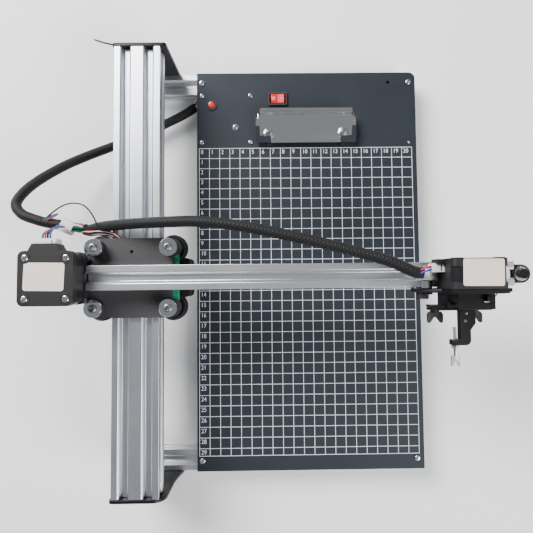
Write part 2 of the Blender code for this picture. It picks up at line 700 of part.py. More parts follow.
def carriage_outline():
    """The plate from above: lobes round the bolts, a tongue under the X motor and a tab under the arm."""
    bolt_y, tongue, corner = WHEEL_BASE / 2, TONGUE_WIDTH / 2, 5 * MM
    upper = [(PLATE_TAB, 0), (PLATE_TAB, 8.5 * MM), (PLATE_RIGHT, 9.5 * MM)]
    upper += [(PLATE_RIGHT, bolt_y - PLATE_LOBE + MM)]
    upper += arc(WHEEL_X, bolt_y, PLATE_LOBE, -40, 90, 8)
    upper += arc(-WHEEL_X, bolt_y, PLATE_LOBE, 90, 195, 7)
    upper += arc(-WHEEL_X - PLATE_LOBE - 4 * MM, tongue + 3 * MM, 3 * MM, 0, -90, 4)
    upper += arc(TONGUE_LEFT + corner, tongue - corner, corner, 90, 180, 4)
    return upper + [(x, -y) for x, y in reversed(upper[1:])]


def build_corner(number, x, y):
    """A carriage corner: one bolt with its bush, washer, spacer and nut, and the V wheel that turns on it."""
    base = PLATE_TOP + GAP
    washer = base + BUSH_HEIGHT
    head = washer + WASHER_HEIGHT
    wheel_top = RAIL_MIDDLE + WHEEL_WIDTH / 2
    wheel_low = RAIL_MIDDLE - WHEEL_WIDTH / 2
    bush = rod(BUSH_RADIUS, (0, 0, base), (0, 0, washer + 0.2 * MM), 20)
    adds = [
        rod(WASHER_RADIUS, (0, 0, washer), (0, 0, head), 24),
        rod(BOLT_HEAD, (0, 0, head - 0.2 * MM), (0, 0, head + BOLT_HEAD_HEIGHT), end_radius=BOLT_HEAD * 0.75),
        rod(AXLE_RADIUS, (0, 0, wheel_low - NUT_HEIGHT), (0, 0, base + MM)),
        rod(NUT_RADIUS, (0, 0, wheel_top + GAP), (0, 0, PLATE_BOTTOM - GAP), 6),
        rod(NUT_RADIUS, (0, 0, wheel_low - GAP - NUT_HEIGHT), (0, 0, wheel_low - GAP), 6),
    ]
    top = head + BOLT_HEAD_HEIGHT
    socket = rod(1.7 * MM, (0, 0, top - 1.5 * MM), (0, 0, top + MM), 6)
    piece(f"corner_bolt_{number}", "zinc", bush, adds=adds, cuts=[socket], at=(x, y, 0))
    at = (x, y, RAIL_MIDDLE)
    turned(f"y_wheel_{number}", "black_plastic", wheel_profile(WHEEL_RADIUS, WHEEL_WIDTH), at)


def build_carriage():
    hole = AXLE_RADIUS + GAP
    low, high = PLATE_BOTTOM - MM, PLATE_TOP + MM
    corners = [(x, y) for y in (WHEEL_BASE / 2, -WHEEL_BASE / 2) for x in (-WHEEL_X, WHEEL_X)]
    cuts = [rod(hole, (x, y, low), (x, y, high)) for x, y in corners]
    cuts.append(rod(1.5 * MM, (-2 * MM, 22 * MM, low), (-2 * MM, 22 * MM, high), 12))
    at = (0, CARRIAGE_Y, 0)
    plate = prism([carriage_outline()], PLATE_BOTTOM, PLATE_TOP)
    piece("carriage_plate", "textured_plate", plate, cuts=cuts, at=at)
    for number, (x, y) in enumerate(corners, 1):
        build_corner(number, x, y + CARRIAGE_Y)
    wing = JUNCTION_WIDTH / 2
    top = PLATE_BOTTOM - GAP
    sheet = box((JUNCTION_LEFT, -wing, top - JUNCTION_THICKNESS), (JUNCTION_RIGHT, wing, top))
    notch = box((29 * MM, -10.5 * MM, top - 3 * MM), (JUNCTION_RIGHT + MM, 10.5 * MM, top + MM))
    corners_cut = []
    for x, y in corners:
        corners_cut.append(rod(NUT_RADIUS + MM, (x, y, top - 3 * MM), (x, y, top + MM)))
    piece("junction_board", "green_board", sheet, cuts=[notch, *corners_cut], at=at)


def build_y_drive():
    """The Y motor hangs from the plate's tab, and its pinion runs on the belt in the rail's side slot."""
    x, side, top = Y_PINION_X, Y_MOTOR_SIDE / 2, Y_MOTOR_TOP
    body = prism([chamfered_square(Y_MOTOR_SIDE, 3.5 * MM)], top - Y_MOTOR_LENGTH, top)
    boss = rod(7.5 * MM, (0, 0, top - MM), (0, 0, top + 2 * MM))
    shaft = rod(SHAFT_RADIUS, (0, 0, top), (0, 0, RAIL_MIDDLE + BELT_WIDTH / 2 + 2 * MM), 12)
    boss_cut = box((-side, -side, top), (RAIL_WIDTH / 2 + GAP - x, side, top + 4 * MM))
    piece("y_motor", "motor", body, adds=[boss, shaft], cuts=[boss_cut], at=(x, CARRIAGE_Y, 0))
    # The hanger's section: a tab under the plate, a web behind the pinion and a foot on the motor.
    web, low, high = PLATE_TAB - 3 * MM, top + GAP, PLATE_BOTTOM - GAP
    section = [(PLATE_TAB, low), (PLATE_TAB, high), (31 * MM, high), (31 * MM, high - 2.2 * MM)]
    section += [(web, high - 2.2 * MM), (web, low + 2.5 * MM)]
    section += [(x + 9 * MM, low + 2.5 * MM), (x + 9 * MM, low)]
    piece("y_motor_bracket", "black_sheet", prism([section], -9 * MM, 9 * MM, "Y"), at=(0, CARRIAGE_Y, 0))
    at = (x, CARRIAGE_Y, RAIL_MIDDLE)
    toothed("y_pinion", "zinc", PINION_TEETH, PINION_RADIUS, 0.7 * MM, BELT_WIDTH, SHAFT_RADIUS + GAP, at)


def build_x_drive():
    """The X motor on four standoffs, the arm, its belt, and the idler at the arm's far end."""
    at = (X_MOTOR_X, CARRIAGE_Y, 0)
    half, hole = MOTOR_SIDE / 2, MOTOR_HOLES / 2
    bottom, top = X_MOTOR_BOTTOM, X_MOTOR_TOP
    body = prism([chamfered_square(MOTOR_SIDE, MOTOR_BEVEL)], bottom, top)
    adds = []
    for x in (-hole, hole):
        for y in (-hole, hole):
            adds.append(rod(STANDOFF_RADIUS, (x, y, PLATE_TOP + GAP), (x, y, bottom + 0.5 * MM)))
            adds.append(rod(2.9 * MM, (x, y, top - 0.3 * MM), (x, y, top + 1.0 * MM)))
    adds.append(box((-10 * MM, half - MM, bottom + 12 * MM), (8 * MM, half + 6.5 * MM, top - MM)))
    adds.append(box((-8.5 * MM, half + 6 * MM, bottom + 14 * MM), (8.5 * MM, half + 11 * MM, top - 4 * MM)))
    adds.append(rod(SHAFT_RADIUS, (0, 0, PLATE_TOP + MM), (0, 0, bottom + MM), 12))
    piece("x_motor", "motor", body, adds=adds, at=at)

    profile = [move_points(o, CARRIAGE_Y, ARM_MIDDLE) for o in square_profile()]
    piece("x_arm", "aluminium", prism(profile, ARM_LEFT, ARM_RIGHT, "X"))

    inner, outer = BELT_RADIUS, BELT_RADIUS + BELT_THICKNESS
    loops = []
    for radius in (inner, outer):
        loop = arc(X_MOTOR_X, CARRIAGE_Y, radius, 90, 270, 10)
        loops.append(loop + arc(IDLER_X, CARRIAGE_Y, radius, 270, 450, 10))
    low = ARM_MIDDLE - BELT_WIDTH / 2
    piece("x_belt", "rubber", prism([loops[1], list(reversed(loops[0]))], low, low + BELT_WIDTH))
    for name, x in (("x_pulley", X_MOTOR_X), ("x_idler_pulley", IDLER_X)):
        middle = (x, CARRIAGE_Y, ARM_MIDDLE)
        bore = SHAFT_RADIUS + RUNNING_GAP
        toothed(name, "zinc", PINION_TEETH, PINION_RADIUS, 0.7 * MM, BELT_WIDTH + 1.2 * MM, bore, middle)

    # The idler bracket: a plate under the pulley, a wall on the arm's end, and the pulley's bolt.
    side = SLOT_SIDE / 2 - 0.2 * MM
    start = ARM_RIGHT + GAP
    tip = arc(IDLER_X, 0, IDLER_TIP, -75, 75, 10)
    outline = [(start, -side), *tip, (start, side)]
    plate_low = prism([outline], ARM_BOTTOM, ARM_BOTTOM + IDLER_PLATE)
    wall = box((start, -side, ARM_BOTTOM), (start + 1.2 * MM, side, ARM_MIDDLE + 6 * MM))
    bolt = rod(SHAFT_RADIUS, (IDLER_X, 0, ARM_BOTTOM + MM), (IDLER_X, 0, ARM_MIDDLE + 7 * MM), 12)
    head = rod(4.2 * MM, (IDLER_X, 0, ARM_MIDDLE + 5.2 * MM), (IDLER_X, 0, ARM_MIDDLE + 8.2 * MM))
    windows = []
    for y in (-BELT_RADIUS - BELT_THICKNESS - MM, BELT_RADIUS - MM):
        low_corner = (start - MM, y, low - MM)
        windows.append(box(low_corner, (start + 3 * MM, y + BELT_THICKNESS + 2 * MM, low + BELT_WIDTH + MM)))
    at = (0, CARRIAGE_Y, 0)
    piece("x_idler_bracket", "black_sheet", plate_low, adds=[wall, bolt, head], cuts=windows, at=at)


# Pen carriage


def build_pen_carriage():
    """The pen carriage: a plate in front of the arm on three small wheels, its belt clamp and the Z motor."""
    span, front, back = PEN_WHEEL_BASE / 2, -PEN_PLATE, 0
    bottom = ARM_BOTTOM + 3.6 * MM
    shoulder = SMALL_WHEEL_RISE + 11 * MM
    side, leg = MOTOR_SIDE / 2 - 0.6 * MM, PEN_PLATE_LEG / 2
    foot = LOW_WHEEL_RISE - 6 * MM
    top = Z_MOTOR_BOTTOM + MOTOR_SIDE
    outline = [(-PEN_PLATE_LEFT, bottom), (PEN_PLATE_RIGHT, bottom), (PEN_PLATE_RIGHT, shoulder - 8 * MM)]
    outline += [(side, shoulder), (side, top), (-side, top), (-side, shoulder)]
    outline.append((-PEN_PLATE_LEFT, shoulder - 8 * MM))
    half_wheel = SMALL_WHEEL_WIDTH / 2
    to_arm = PEN_PLATE_GAP + SLOT_SIDE / 2
    adds = [box((-leg, front, foot), (leg, back, bottom + 2 * MM))]
    axles = ((-span, SMALL_WHEEL_RISE), (span, SMALL_WHEEL_RISE), (0, LOW_WHEEL_RISE))
    for x, z in axles:
        spacer_end = to_arm - half_wheel - GAP
        adds.append(rod(4 * MM, (x, -MM, z), (x, spacer_end, z)))
        adds.append(rod(AXLE_RADIUS, (x, -1.6 * MM, z), (x, to_arm + half_wheel + 1.5 * MM, z)))
        adds.append(rod(4.2 * MM, (x, front - 1.4 * MM, z), (x, front + 0.7 * MM, z)))
    reach = to_arm - BELT_RADIUS - BELT_THICKNESS - 0.4 * MM
    tab_z = (ARM_MIDDLE - 2.6 * MM, ARM_MIDDLE + 2.6 * MM)
    adds.append(box((-30 * MM, -MM, tab_z[0]), (-22 * MM, reach, tab_z[1])))
    shaft_hole = rod(SHAFT_RADIUS + MM, (0, front - 2 * MM, Z_SHAFT_RISE), (0, 2 * MM, Z_SHAFT_RISE))
    at = (PEN_X, PEN_PLATE_Y, 0)
    plate = prism([outline], front, back, "Y")
    piece("pen_carriage_plate", "black_sheet", plate, adds=adds, cuts=[shaft_hole], at=at)
    for number, (x, z) in enumerate(axles, 1):
        profile = wheel_profile(SMALL_WHEEL_RADIUS, SMALL_WHEEL_WIDTH)
        turned(f"pen_wheel_{number}", "white_wheel", profile, (PEN_X + x, CARRIAGE_Y, z), "Y", 20)

    middle = [(u, v + Z_SHAFT_RISE) for u, v in chamfered_square(MOTOR_SIDE, MOTOR_BEVEL)]
    body = prism([middle], GAP, Z_MOTOR_DEPTH, "Y")
    half = MOTOR_SIDE / 2
    pinion_front = FRAME_FRONT_Y - GAP - Z_PINION_WIDTH - PEN_PLATE_Y
    adds = [
        rod(SHAFT_RADIUS, (0, pinion_front - MM, Z_SHAFT_RISE), (0, 2 * MM, Z_SHAFT_RISE), 12),
        box((-half - 5 * MM, 9 * MM, 127.5 * MM), (-half + MM, 21 * MM, 139 * MM)),
        box((-half - 14 * MM, 8 * MM, 129 * MM), (-half - 4 * MM, 17 * MM, 137.5 * MM)),
    ]
    piece("z_motor", "motor", body, adds=adds, at=at)
    switch_back, switch_low, switch_top = front - GAP, 106.2 * MM, 113.5 * MM
    body = box((-34 * MM, switch_back - 5 * MM, switch_low), (-26 * MM, switch_back, switch_top))
    lever_low = (-34.8 * MM, switch_back - 4 * MM, switch_low + 2 * MM)
    lever = box(lever_low, (-33.8 * MM, switch_back - MM, switch_top - MM))
    piece("limit_switch", "black_plastic", body, adds=[lever], at=at)


def build_lift():
    """The pen lift: a fixed frame with two rods, a block that slides on them, and its rack and pinion."""
    half, y_back = LIFT_WIDTH / 2, PEN_FRONT_Y - GAP
    top, low = Z_SHAFT_RISE + 7.6 * MM, LIFT_RISE - GAP
    ear_front = LIFT_FRONT_Y
    at = (PEN_X, 0, 0)
    rods = [(-ROD_SPACING / 2, ROD_Y), (ROD_SPACING / 2, ROD_Y)]
    web = box((-half, FRAME_FRONT_Y, low - FRAME_EAR), (half, y_back, top + FRAME_EAR))
    adds = [
        box((-half, ear_front, low - FRAME_EAR), (half, y_back, low)),
        box((-half, ear_front, top), (half, y_back, top + FRAME_EAR)),
    ]
    for x, y in rods:
        adds.append(rod(ROD_RADIUS, (x, y, low - 2 * MM), (x, y, top + 2 * MM), 12))
    rack_left = PINION_RADIUS + RUNNING_GAP
    rack_right = rack_left + RACK_WIDTH
    rack_back = LIFT_BACK_Y - 0.2 * MM
    rack_front = rack_back - Z_PINION_WIDTH
    slot_low = (rack_left - 0.5 * MM, rack_front - 0.5 * MM, top - MM)
    shaft_hole = rod(SHAFT_RADIUS + MM, (0, y_back + MM, Z_SHAFT_RISE), (0, FRAME_FRONT_Y - MM, Z_SHAFT_RISE))
    slot = box(slot_low, (rack_right + 0.5 * MM, LIFT_BACK_Y + 0.1 * MM, top + FRAME_EAR + MM))
    piece("lift_frame", "black_sheet", web, adds=adds, cuts=[shaft_hole, slot], at=at)

    block = box((-half, LIFT_FRONT_Y, LIFT_RISE), (half, LIFT_BACK_Y, LIFT_TOP))
    flange_low = (-CLAMP_WIDTH / 2 - MM, LIFT_FRONT_Y, LIFT_RISE + MM)
    flange = box(flange_low, (CLAMP_WIDTH / 2 - MM, LIFT_FRONT_Y + 2 * MM, LIFT_TOP - 4 * MM))
    rack_low = (rack_left, rack_front, LIFT_TOP - MM)
    rack = box(rack_low, (rack_right, rack_back, LIFT_TOP + RACK_HEIGHT))
    cuts = [rod(ROD_RADIUS + RUNNING_GAP, (x, y, LIFT_RISE - MM), (x, y, LIFT_TOP + MM), 12) for x, y in rods]
    for x in (WING_LEFT_X, WING_RIGHT_X):
        start, end = (x, LIFT_FRONT_Y - MM, WING_RISE), (x, LIFT_FRONT_Y + 6 * MM, WING_RISE)
        cuts.append(rod(WING_SHANK + GAP, start, end, 12))
    thumb_y, thumb_z = LIFT_BACK_Y - 2.6 * MM, LIFT_RISE + 12 * MM
    cuts.append(rod(1.5 * MM + GAP, (half - 2.6 * MM, thumb_y, thumb_z), (half + MM, thumb_y, thumb_z), 12))
    piece("lift_block", "black_sheet", block, adds=[flange, rack], cuts=cuts, at=at)

    pinion_at = (PEN_X, rack_back - Z_PINION_WIDTH / 2 - 0.2 * MM, Z_SHAFT_RISE)
    bore = SHAFT_RADIUS + RUNNING_GAP
    width = Z_PINION_WIDTH - MM
    toothed("z_pinion", "zinc", PINION_TEETH, PINION_RADIUS, 0.7 * MM, width, bore, pinion_at, "Y")

    shank = rod(1.5 * MM, (-2.4 * MM, 0, 0), (3.4 * MM, 0, 0), 12)
    adds = [rod(3.6 * MM, (GAP, 0, 0), (2.4 * MM, 0, 0)), rod(3.2 * MM, (3 * MM, 0, 0), (7.5 * MM, 0, 0))]
    thumb_at = (PEN_X + half, thumb_y, thumb_z)
    piece("thumb_screw", "black_plastic", shank, adds=adds, at=thumb_at)


def build_pen_holder():
    """The holder: a plate that two wing bolts clamp to the lift, an arm forward, and a foot with a screw."""
    half, at = CLAMP_WIDTH / 2, (PEN_X, 0, 0)
    plate_low = (-half - MM, CLAMP_FRONT_Y, LIFT_RISE + MM)
    plate = box(plate_low, (half - MM, CLAMP_BACK_Y, LIFT_TOP - 4 * MM))
    wall_right = HOLDER_X + HOLDER_WALL
    outline = [(HOLDER_X, CLAMP_FRONT_Y + MM), (HOLDER_X, HOLDER_FRONT_Y + HOLDER_FOOT)]
    outline += [(CLAMP_SCREW_X - 3.4 * MM, HOLDER_FRONT_Y + HOLDER_FOOT - 0.4 * MM)]
    outline += [(CLAMP_SCREW_X - 3.4 * MM, HOLDER_FRONT_Y)]
    outline += arc(wall_right - 4 * MM, HOLDER_FRONT_Y + 4 * MM, 4 * MM, -90, 0, 5)
    outline += [(wall_right, CLAMP_FRONT_Y - 15 * MM), (wall_right + 4 * MM, CLAMP_FRONT_Y - 10 * MM)]
    outline += [(wall_right + 4 * MM, CLAMP_FRONT_Y + MM)]
    arm = prism([outline], HOLDER_RISE, HOLDER_TOP)
    x, z = CLAMP_SCREW_X, CLAMP_SCREW_RISE
    bore_end = (x, HOLDER_FRONT_Y + HOLDER_FOOT + MM, z)
    bore = rod(CLAMP_SCREW_RADIUS + GAP, (x, HOLDER_FRONT_Y - MM, z), bore_end, 12)
    holes = [
        rod(WING_SHANK + GAP, (wx, CLAMP_FRONT_Y - MM, WING_RISE), (wx, CLAMP_BACK_Y + MM, WING_RISE), 12)
        for wx in (WING_LEFT_X, WING_RIGHT_X)
    ]
    piece("pen_bracket", "black_sheet", plate, adds=[arm], cuts=[bore, *holes], at=at)
    for name, wing_x in (("wing_bolt_left", WING_LEFT_X), ("wing_bolt_right", WING_RIGHT_X)):
        shank = rod(WING_SHANK, (0, -MM, 0), (0, 4.2 * MM, 0), 12)
        hub = rod(3.6 * MM, (0, -5 * MM, 0), (0, -GAP, 0))
        wings = prism([wing_outline(WING_REACH)], -1.1 * MM, 1.1 * MM)
        piece(name, "black_plastic", shank, adds=[hub, wings], at=(PEN_X + wing_x, CLAMP_FRONT_Y, WING_RISE))
    pen_tip = CLAMP_FRONT_Y - PEN_ROOM - HOLDER_FRONT_Y
    shank = rod(CLAMP_SCREW_RADIUS, (0, -9 * MM, 0), (0, pen_tip, 0), 12)
    collar = rod(2.9 * MM, (0, -2.4 * MM, 0), (0, -GAP, 0))
    head = [(px * 0.55, py * 0.9 - 7 * MM) for px, py in wing_outline(WING_REACH)]
    wings = prism([head], -0.8 * MM, 0.8 * MM)
    screw_at = (PEN_X + x, HOLDER_FRONT_Y, z)
    piece("pen_clamp_screw", "steel", shank, adds=[collar, wings], at=screw_at)


def wing_outline(reach):
    """A butterfly head seen from above: two wings that spread from the hub, with a notch between them."""
    tip = [(MM, -6 * MM), (reach - 2.4 * MM, -10.5 * MM), (reach - 0.6 * MM, -10.5 * MM), (reach, -9 * MM)]
    right = [*tip, (reach, -3.5 * MM), (reach - 1.5 * MM, -1.4 * MM)]
    return right + [(-x, y) for x, y in reversed(right)]


# Harness


def build_harness():
    """The sleeved harness: from the board, under the rail and round to its tag, then to the Z motor."""
    rear = [(40.2, 163.4, 12), (26, 155, 11), (8, 146, 11), (-14, 134, 13), (-39.5, 121.4, 22)]
    rear += [(-60, 110, 32), (-78, 98, 43), (-94.5, 83, 56), (-105, 69.5, 66), (-108.5, 57, 74)]
    rear += [(-101, 47.5, 79), (-88, 42.2, 81.6), (-78, 39.35, 82), (-65.9, 37.25, 82)]
    tube("harness_rear", "sleeve", SLEEVE_RADIUS, rear, 3)
    front = [(-45.6, 33.67, 82), (-40.8, 32.82, 82), (-30, 34.2, 89), (-10, 35.2, 99), (9.3, 35.3, 108)]
    front += [(33.4, 35.5, 114), (60, 35.2, 117), (94, 30.7, 119), (141, 20.5, 121), (187, 8, 126)]
    front += [(208, 1.5, 130), (225, -6.6, 133), (232.4, -7.8, 133.2)]
    tube("harness_front", "sleeve", SLEEVE_RADIUS, front, 3)
    length, height = TAG_LENGTH / 2, 6.5 * MM
    tag = box((-length, -height, -height), (length, height, height))
    made = piece("harness_tag", "beige", tag, at=(-56 * MM, 35.5 * MM, 82 * MM))
    made.rotation_euler = (0, 0, math.radians(-10))


build_beams()
build_board()
build_controller()
build_switch()
build_pause_button()
build_clip()
build_rail()
build_carriage()
build_y_drive()
build_x_drive()
build_pen_carriage()
build_lift()
build_pen_holder()
build_harness()
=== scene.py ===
"""Looks of a desktop pen plotter: a gridded board, a V-slot rail and a writing arm over both."""

import json
import logging
import math
import random
from dataclasses import dataclass
from enum import Enum
from typing import Any, Sequence

import bmesh
import bpy
from mathutils import Matrix, Vector


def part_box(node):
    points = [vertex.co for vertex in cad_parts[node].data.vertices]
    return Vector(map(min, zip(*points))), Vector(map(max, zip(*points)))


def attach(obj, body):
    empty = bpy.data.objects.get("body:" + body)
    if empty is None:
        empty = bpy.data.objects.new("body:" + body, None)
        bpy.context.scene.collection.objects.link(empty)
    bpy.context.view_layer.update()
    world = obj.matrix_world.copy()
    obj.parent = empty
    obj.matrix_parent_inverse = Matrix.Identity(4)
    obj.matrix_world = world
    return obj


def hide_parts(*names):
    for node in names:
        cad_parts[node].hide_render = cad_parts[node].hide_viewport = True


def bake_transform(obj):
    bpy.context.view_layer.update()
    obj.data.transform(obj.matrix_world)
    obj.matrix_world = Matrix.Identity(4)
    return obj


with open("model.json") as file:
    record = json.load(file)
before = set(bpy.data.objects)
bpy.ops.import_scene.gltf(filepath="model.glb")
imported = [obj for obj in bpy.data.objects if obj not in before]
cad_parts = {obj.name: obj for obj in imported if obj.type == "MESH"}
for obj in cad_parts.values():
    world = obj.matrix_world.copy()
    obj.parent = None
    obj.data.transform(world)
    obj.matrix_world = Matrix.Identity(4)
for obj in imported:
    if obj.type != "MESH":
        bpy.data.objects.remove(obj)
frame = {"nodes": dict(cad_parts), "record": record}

MM = 0.001
LOG = logging.getLogger("pen_plotter")
SHORTEST_CORD = 30 * MM
# A dielectric's reflection, lower than the shader's own, as on dull paint and plastic.
GLOSS_LEVEL = 0.22
# Edges that turn more than these stay sharp, or are rounded, in made shells and in copies.
SHELL_CREASE = math.radians(38)
COPY_CREASE = math.radians(32)
BEVEL_CREASE = 0.6
ROUND_CREASE = math.radians(38)
# A screw's seat stands this far off its face, so that the two don't share a plane.
FACE_GAP = 0.02 * MM
# The part's source is laid out from the rail's middle: this moves its points into the frame.
FROM_RAIL = Vector((-126.3, -3.0, 0.0)) * MM

Point = Sequence[float]
Outline = list[tuple[float, float]]


def rail_point(x: float, y: float, z: float) -> Vector:
    """A point given in millimetres from the rail's middle, in the frame."""
    return Vector((x, y, z)) * MM + FROM_RAIL


def scaled(*points: tuple) -> list[tuple]:
    """Points given in millimetres, in metres. A word in a point stays as it is."""
    return [
        tuple(part if isinstance(part, str) else part * MM for part in point) for point in points
    ]


class Axis(Enum):
    """The axis that a piece runs along or turns about."""

    X = 0
    Y = 1
    Z = 2


# Shader maths and finishes


class Value:
    """A shader socket that takes part in sums."""

    def __init__(self, tree: bpy.types.NodeTree, socket: bpy.types.NodeSocket) -> None:
        """Holds a socket of a node tree."""
        self.tree = tree
        self.socket = socket

    def maths(self, operation: str, other: Any = 0.0, swapped: bool = False) -> "Value":
        """Adds a Math node.

        Args:
            operation: The node's operation.
            other: A number or another value.
            swapped: Whether the other value comes first.

        Returns:
            The node's result.
        """
        node = self.tree.nodes.new("ShaderNodeMath")
        node.operation = operation
        for slot, item in enumerate((other, self) if swapped else (self, other)):
            if isinstance(item, Value):
                self.tree.links.new(item.socket, node.inputs[slot])
            else:
                node.inputs[slot].default_value = float(item)
        return Value(self.tree, node.outputs[0])

    def __add__(self, other: Any) -> "Value":
        """Self plus other."""
        return self.maths("ADD", other)

    def __radd__(self, other: Any) -> "Value":
        """Other plus self."""
        return self.maths("ADD", other, True)

    def __sub__(self, other: Any) -> "Value":
        """Self minus other."""
        return self.maths("SUBTRACT", other)

    def __rsub__(self, other: Any) -> "Value":
        """Other minus self."""
        return self.maths("SUBTRACT", other, True)

    def __mul__(self, other: Any) -> "Value":
        """Self times other."""
        return self.maths("MULTIPLY", other)

    def __rmul__(self, other: Any) -> "Value":
        """Other times self."""
        return self.maths("MULTIPLY", other, True)

    def sine(self) -> "Value":
        """The sine, in radians."""
        return self.maths("SINE")

    def largest(self, other: Any) -> "Value":
        """The larger of the two."""
        return self.maths("MAXIMUM", other)

    def above(self, edge: float) -> "Value":
        """One above an edge and zero below it."""
        return self.maths("GREATER_THAN", edge)

    def clamped(self) -> "Value":
        """Kept from zero to one."""
        return self.maths("MINIMUM", 1.0).maths("MAXIMUM", 0.0)


class Shader:
    """A material under construction, with one Principled shader."""

    def __init__(self, name: str) -> None:
        """Starts an empty material of this name."""
        self.made = bpy.data.materials.new(name)
        self.made.use_nodes = True
        self.tree = self.made.node_tree
        self.skin = self.tree.nodes["Principled BSDF"]
        self.skin.inputs["Specular IOR Level"].default_value = GLOSS_LEVEL

    def node(
        self, kind: str, settings: dict[str, Any], inputs: dict[str, Any], out: str | int = 0
    ) -> Value:
        """Adds a node.

        Args:
            kind: The node's type.
            settings: Its properties, or the stops of its ramp under "ramp".
            inputs: Values, numbers or tuples for its sockets.
            out: The output that is wanted.

        Returns:
            That output.
        """
        node = self.tree.nodes.new(kind)
        for key, value in settings.items():
            if key == "ramp":
                for stop, (place, shade) in zip(node.color_ramp.elements, value):
                    stop.position = place
                    stop.color = (shade, shade, shade, 1)
            else:
                setattr(node, key, value)
        for key, value in inputs.items():
            if isinstance(value, Value):
                self.tree.links.new(value.socket, node.inputs[key])
            else:
                node.inputs[key].default_value = value
        return Value(self.tree, node.outputs[out])

    def place(self, scale: Point = (1, 1, 1)) -> Value:
        """The point on the piece, in metres, with each axis scaled."""
        where = self.node("ShaderNodeTexCoord", {}, {}, "Object")
        return self.node("ShaderNodeMapping", {}, {"Vector": where, "Scale": tuple(scale)})

    def noise(self, where: Value, scale: float, detail: float = 3.0, rough: float = 0.6) -> Value:
        """A cloud pattern from zero to one."""
        inputs = {"Vector": where, "Scale": scale, "Detail": detail, "Roughness": rough}
        return self.node("ShaderNodeTexNoise", {}, inputs, 0)

    def mixed(self, share: Value, first: Any, second: Any) -> Value:
        """A colour between two, by share."""
        other = second if isinstance(second, Value) else (*second, 1)
        inputs = {0: share, 6: first if isinstance(first, Value) else (*first, 1), 7: other}
        return self.node("ShaderNodeMix", {"data_type": "RGBA"}, inputs, 2)

    def bump(self, height: Value, depth: float, strength: float = 1.0) -> None:
        """Raises the surface by a height pattern, over a depth in metres."""
        inputs = {"Height": height, "Distance": depth, "Strength": strength}
        self.feed("Normal", self.node("ShaderNodeBump", {}, inputs))

    def edges(self, width: float) -> Value:
        """One along sharp edges, fading to zero over a width in metres."""
        rounded = self.node("ShaderNodeBevel", {"samples": 4}, {"Radius": width})
        flat = self.node("ShaderNodeNewGeometry", {}, {}, "Normal")
        settings = {"operation": "DOT_PRODUCT"}
        facing = self.node("ShaderNodeVectorMath", settings, {0: rounded, 1: flat}, "Value")
        return ((1.0 - facing) * 9.0).clamped()

    def feed(self, socket: str, value: Any) -> None:
        """Sets a socket of the shader, by a link or as a constant."""
        if isinstance(value, Value):
            self.tree.links.new(value.socket, self.skin.inputs[socket])
        else:
            self.skin.inputs[socket].default_value = value


def shade(colour: Point, by: float) -> tuple[float, float, float]:
    """A colour made lighter or darker by a factor."""
    return tuple(min(1.0, part * by) for part in colour)


@dataclass(frozen=True)
class Finish:
    """A surface finish. Each kind dresses its shader in its own way."""

    name: str
    colour: tuple[float, float, float]
    roughness: float

    def material(self) -> bpy.types.Material:
        """The finish as a material, made once."""
        made = bpy.data.materials.get(self.name)
        if made is None:
            shader = Shader(self.name)
            self.dress(shader)
            made = shader.made
        return made

    def dress(self, shader: Shader) -> None:
        """Fills in the shader."""
        raise NotImplementedError

    def tinted(self, shader: Shader, tone: Value, dark: float, light: float) -> Value:
        """The finish's colour, from a darker to a lighter shade of it by a tone."""
        return shader.mixed(tone, shade(self.colour, dark), shade(self.colour, light))


@dataclass(frozen=True)
class Brushed(Finish):
    """Anodised aluminium with fine drawing lines along one axis."""

    along: Axis = Axis.X
    line_pitch: float = 0.35 * MM
    line_length: float = 60 * MM

    def dress(self, shader: Shader) -> None:
        """Fills in the shader."""
        scale = [1 / self.line_pitch] * 3
        scale[self.along.value] = 1 / self.line_length
        lines = shader.noise(shader.place(scale), 1.0, 4.0, 0.7)
        clouds = shader.noise(shader.place(), 38.0, 3.0)
        tone = (lines * 0.6 + clouds * 0.4).clamped()
        shader.feed("Base Color", self.tinted(shader, tone, 0.86, 1.08))
        shader.feed("Metallic", 1.0)
        shader.feed("Roughness", lines * 0.14 + clouds * 0.08 + (self.roughness - 0.1))
        shader.bump(lines, 0.02 * MM, 0.5)


@dataclass(frozen=True)
class Plated(Finish):
    """Bright plated steel with a faint bloom and fine scratches."""

    bloom: float = 0.16

    def dress(self, shader: Shader) -> None:
        """Fills in the shader."""
        where = shader.place()
        clouds = shader.noise(where, 420.0, 4.0)
        scratches = shader.noise(shader.place((900, 9000, 2600)), 1.0, 2.0)
        tone = (clouds * 0.7 + scratches * 0.3).clamped()
        shader.feed("Base Color", self.tinted(shader, tone, 1 - 1.6 * self.bloom, 1.08))
        shader.feed("Metallic", 1.0)
        shader.feed("Roughness", (clouds - 0.5) * self.bloom + scratches * 0.08 + self.roughness)
        shader.bump(scratches, 0.015 * MM, 0.4)


@dataclass(frozen=True)
class Coated(Finish):
    """Paint or powder coat on metal: a fine grain, faint mottling, and paler rubbed edges."""

    grain: float = 0.25 * MM
    depth: float = 0.03 * MM
    rubbed: float = 3.0
    speckle: float = 0.25
    edge: float = 0.35 * MM

    def dress(self, shader: Shader) -> None:
        """Fills in the shader."""
        where = shader.place()
        grain = shader.noise(where, 1 / self.grain, 2.0)
        clouds = shader.noise(where, 24.0, 4.0)
        tone = (grain * self.speckle + clouds * (1 - self.speckle)).clamped()
        base = self.tinted(shader, tone, 0.75, 1.3)
        patchy = shader.noise(where, 160.0, 3.0)
        worn = (shader.edges(self.edge) * (patchy * 1.6 - 0.35)).clamped()
        shader.feed("Base Color", shader.mixed(worn, base, shade(self.colour, self.rubbed)))
        shader.feed("Metallic", 0.15)
        shader.feed("Roughness", (grain - 0.5) * 0.14 + (clouds - 0.5) * 0.12 + self.roughness)
        shader.bump(grain, self.depth)


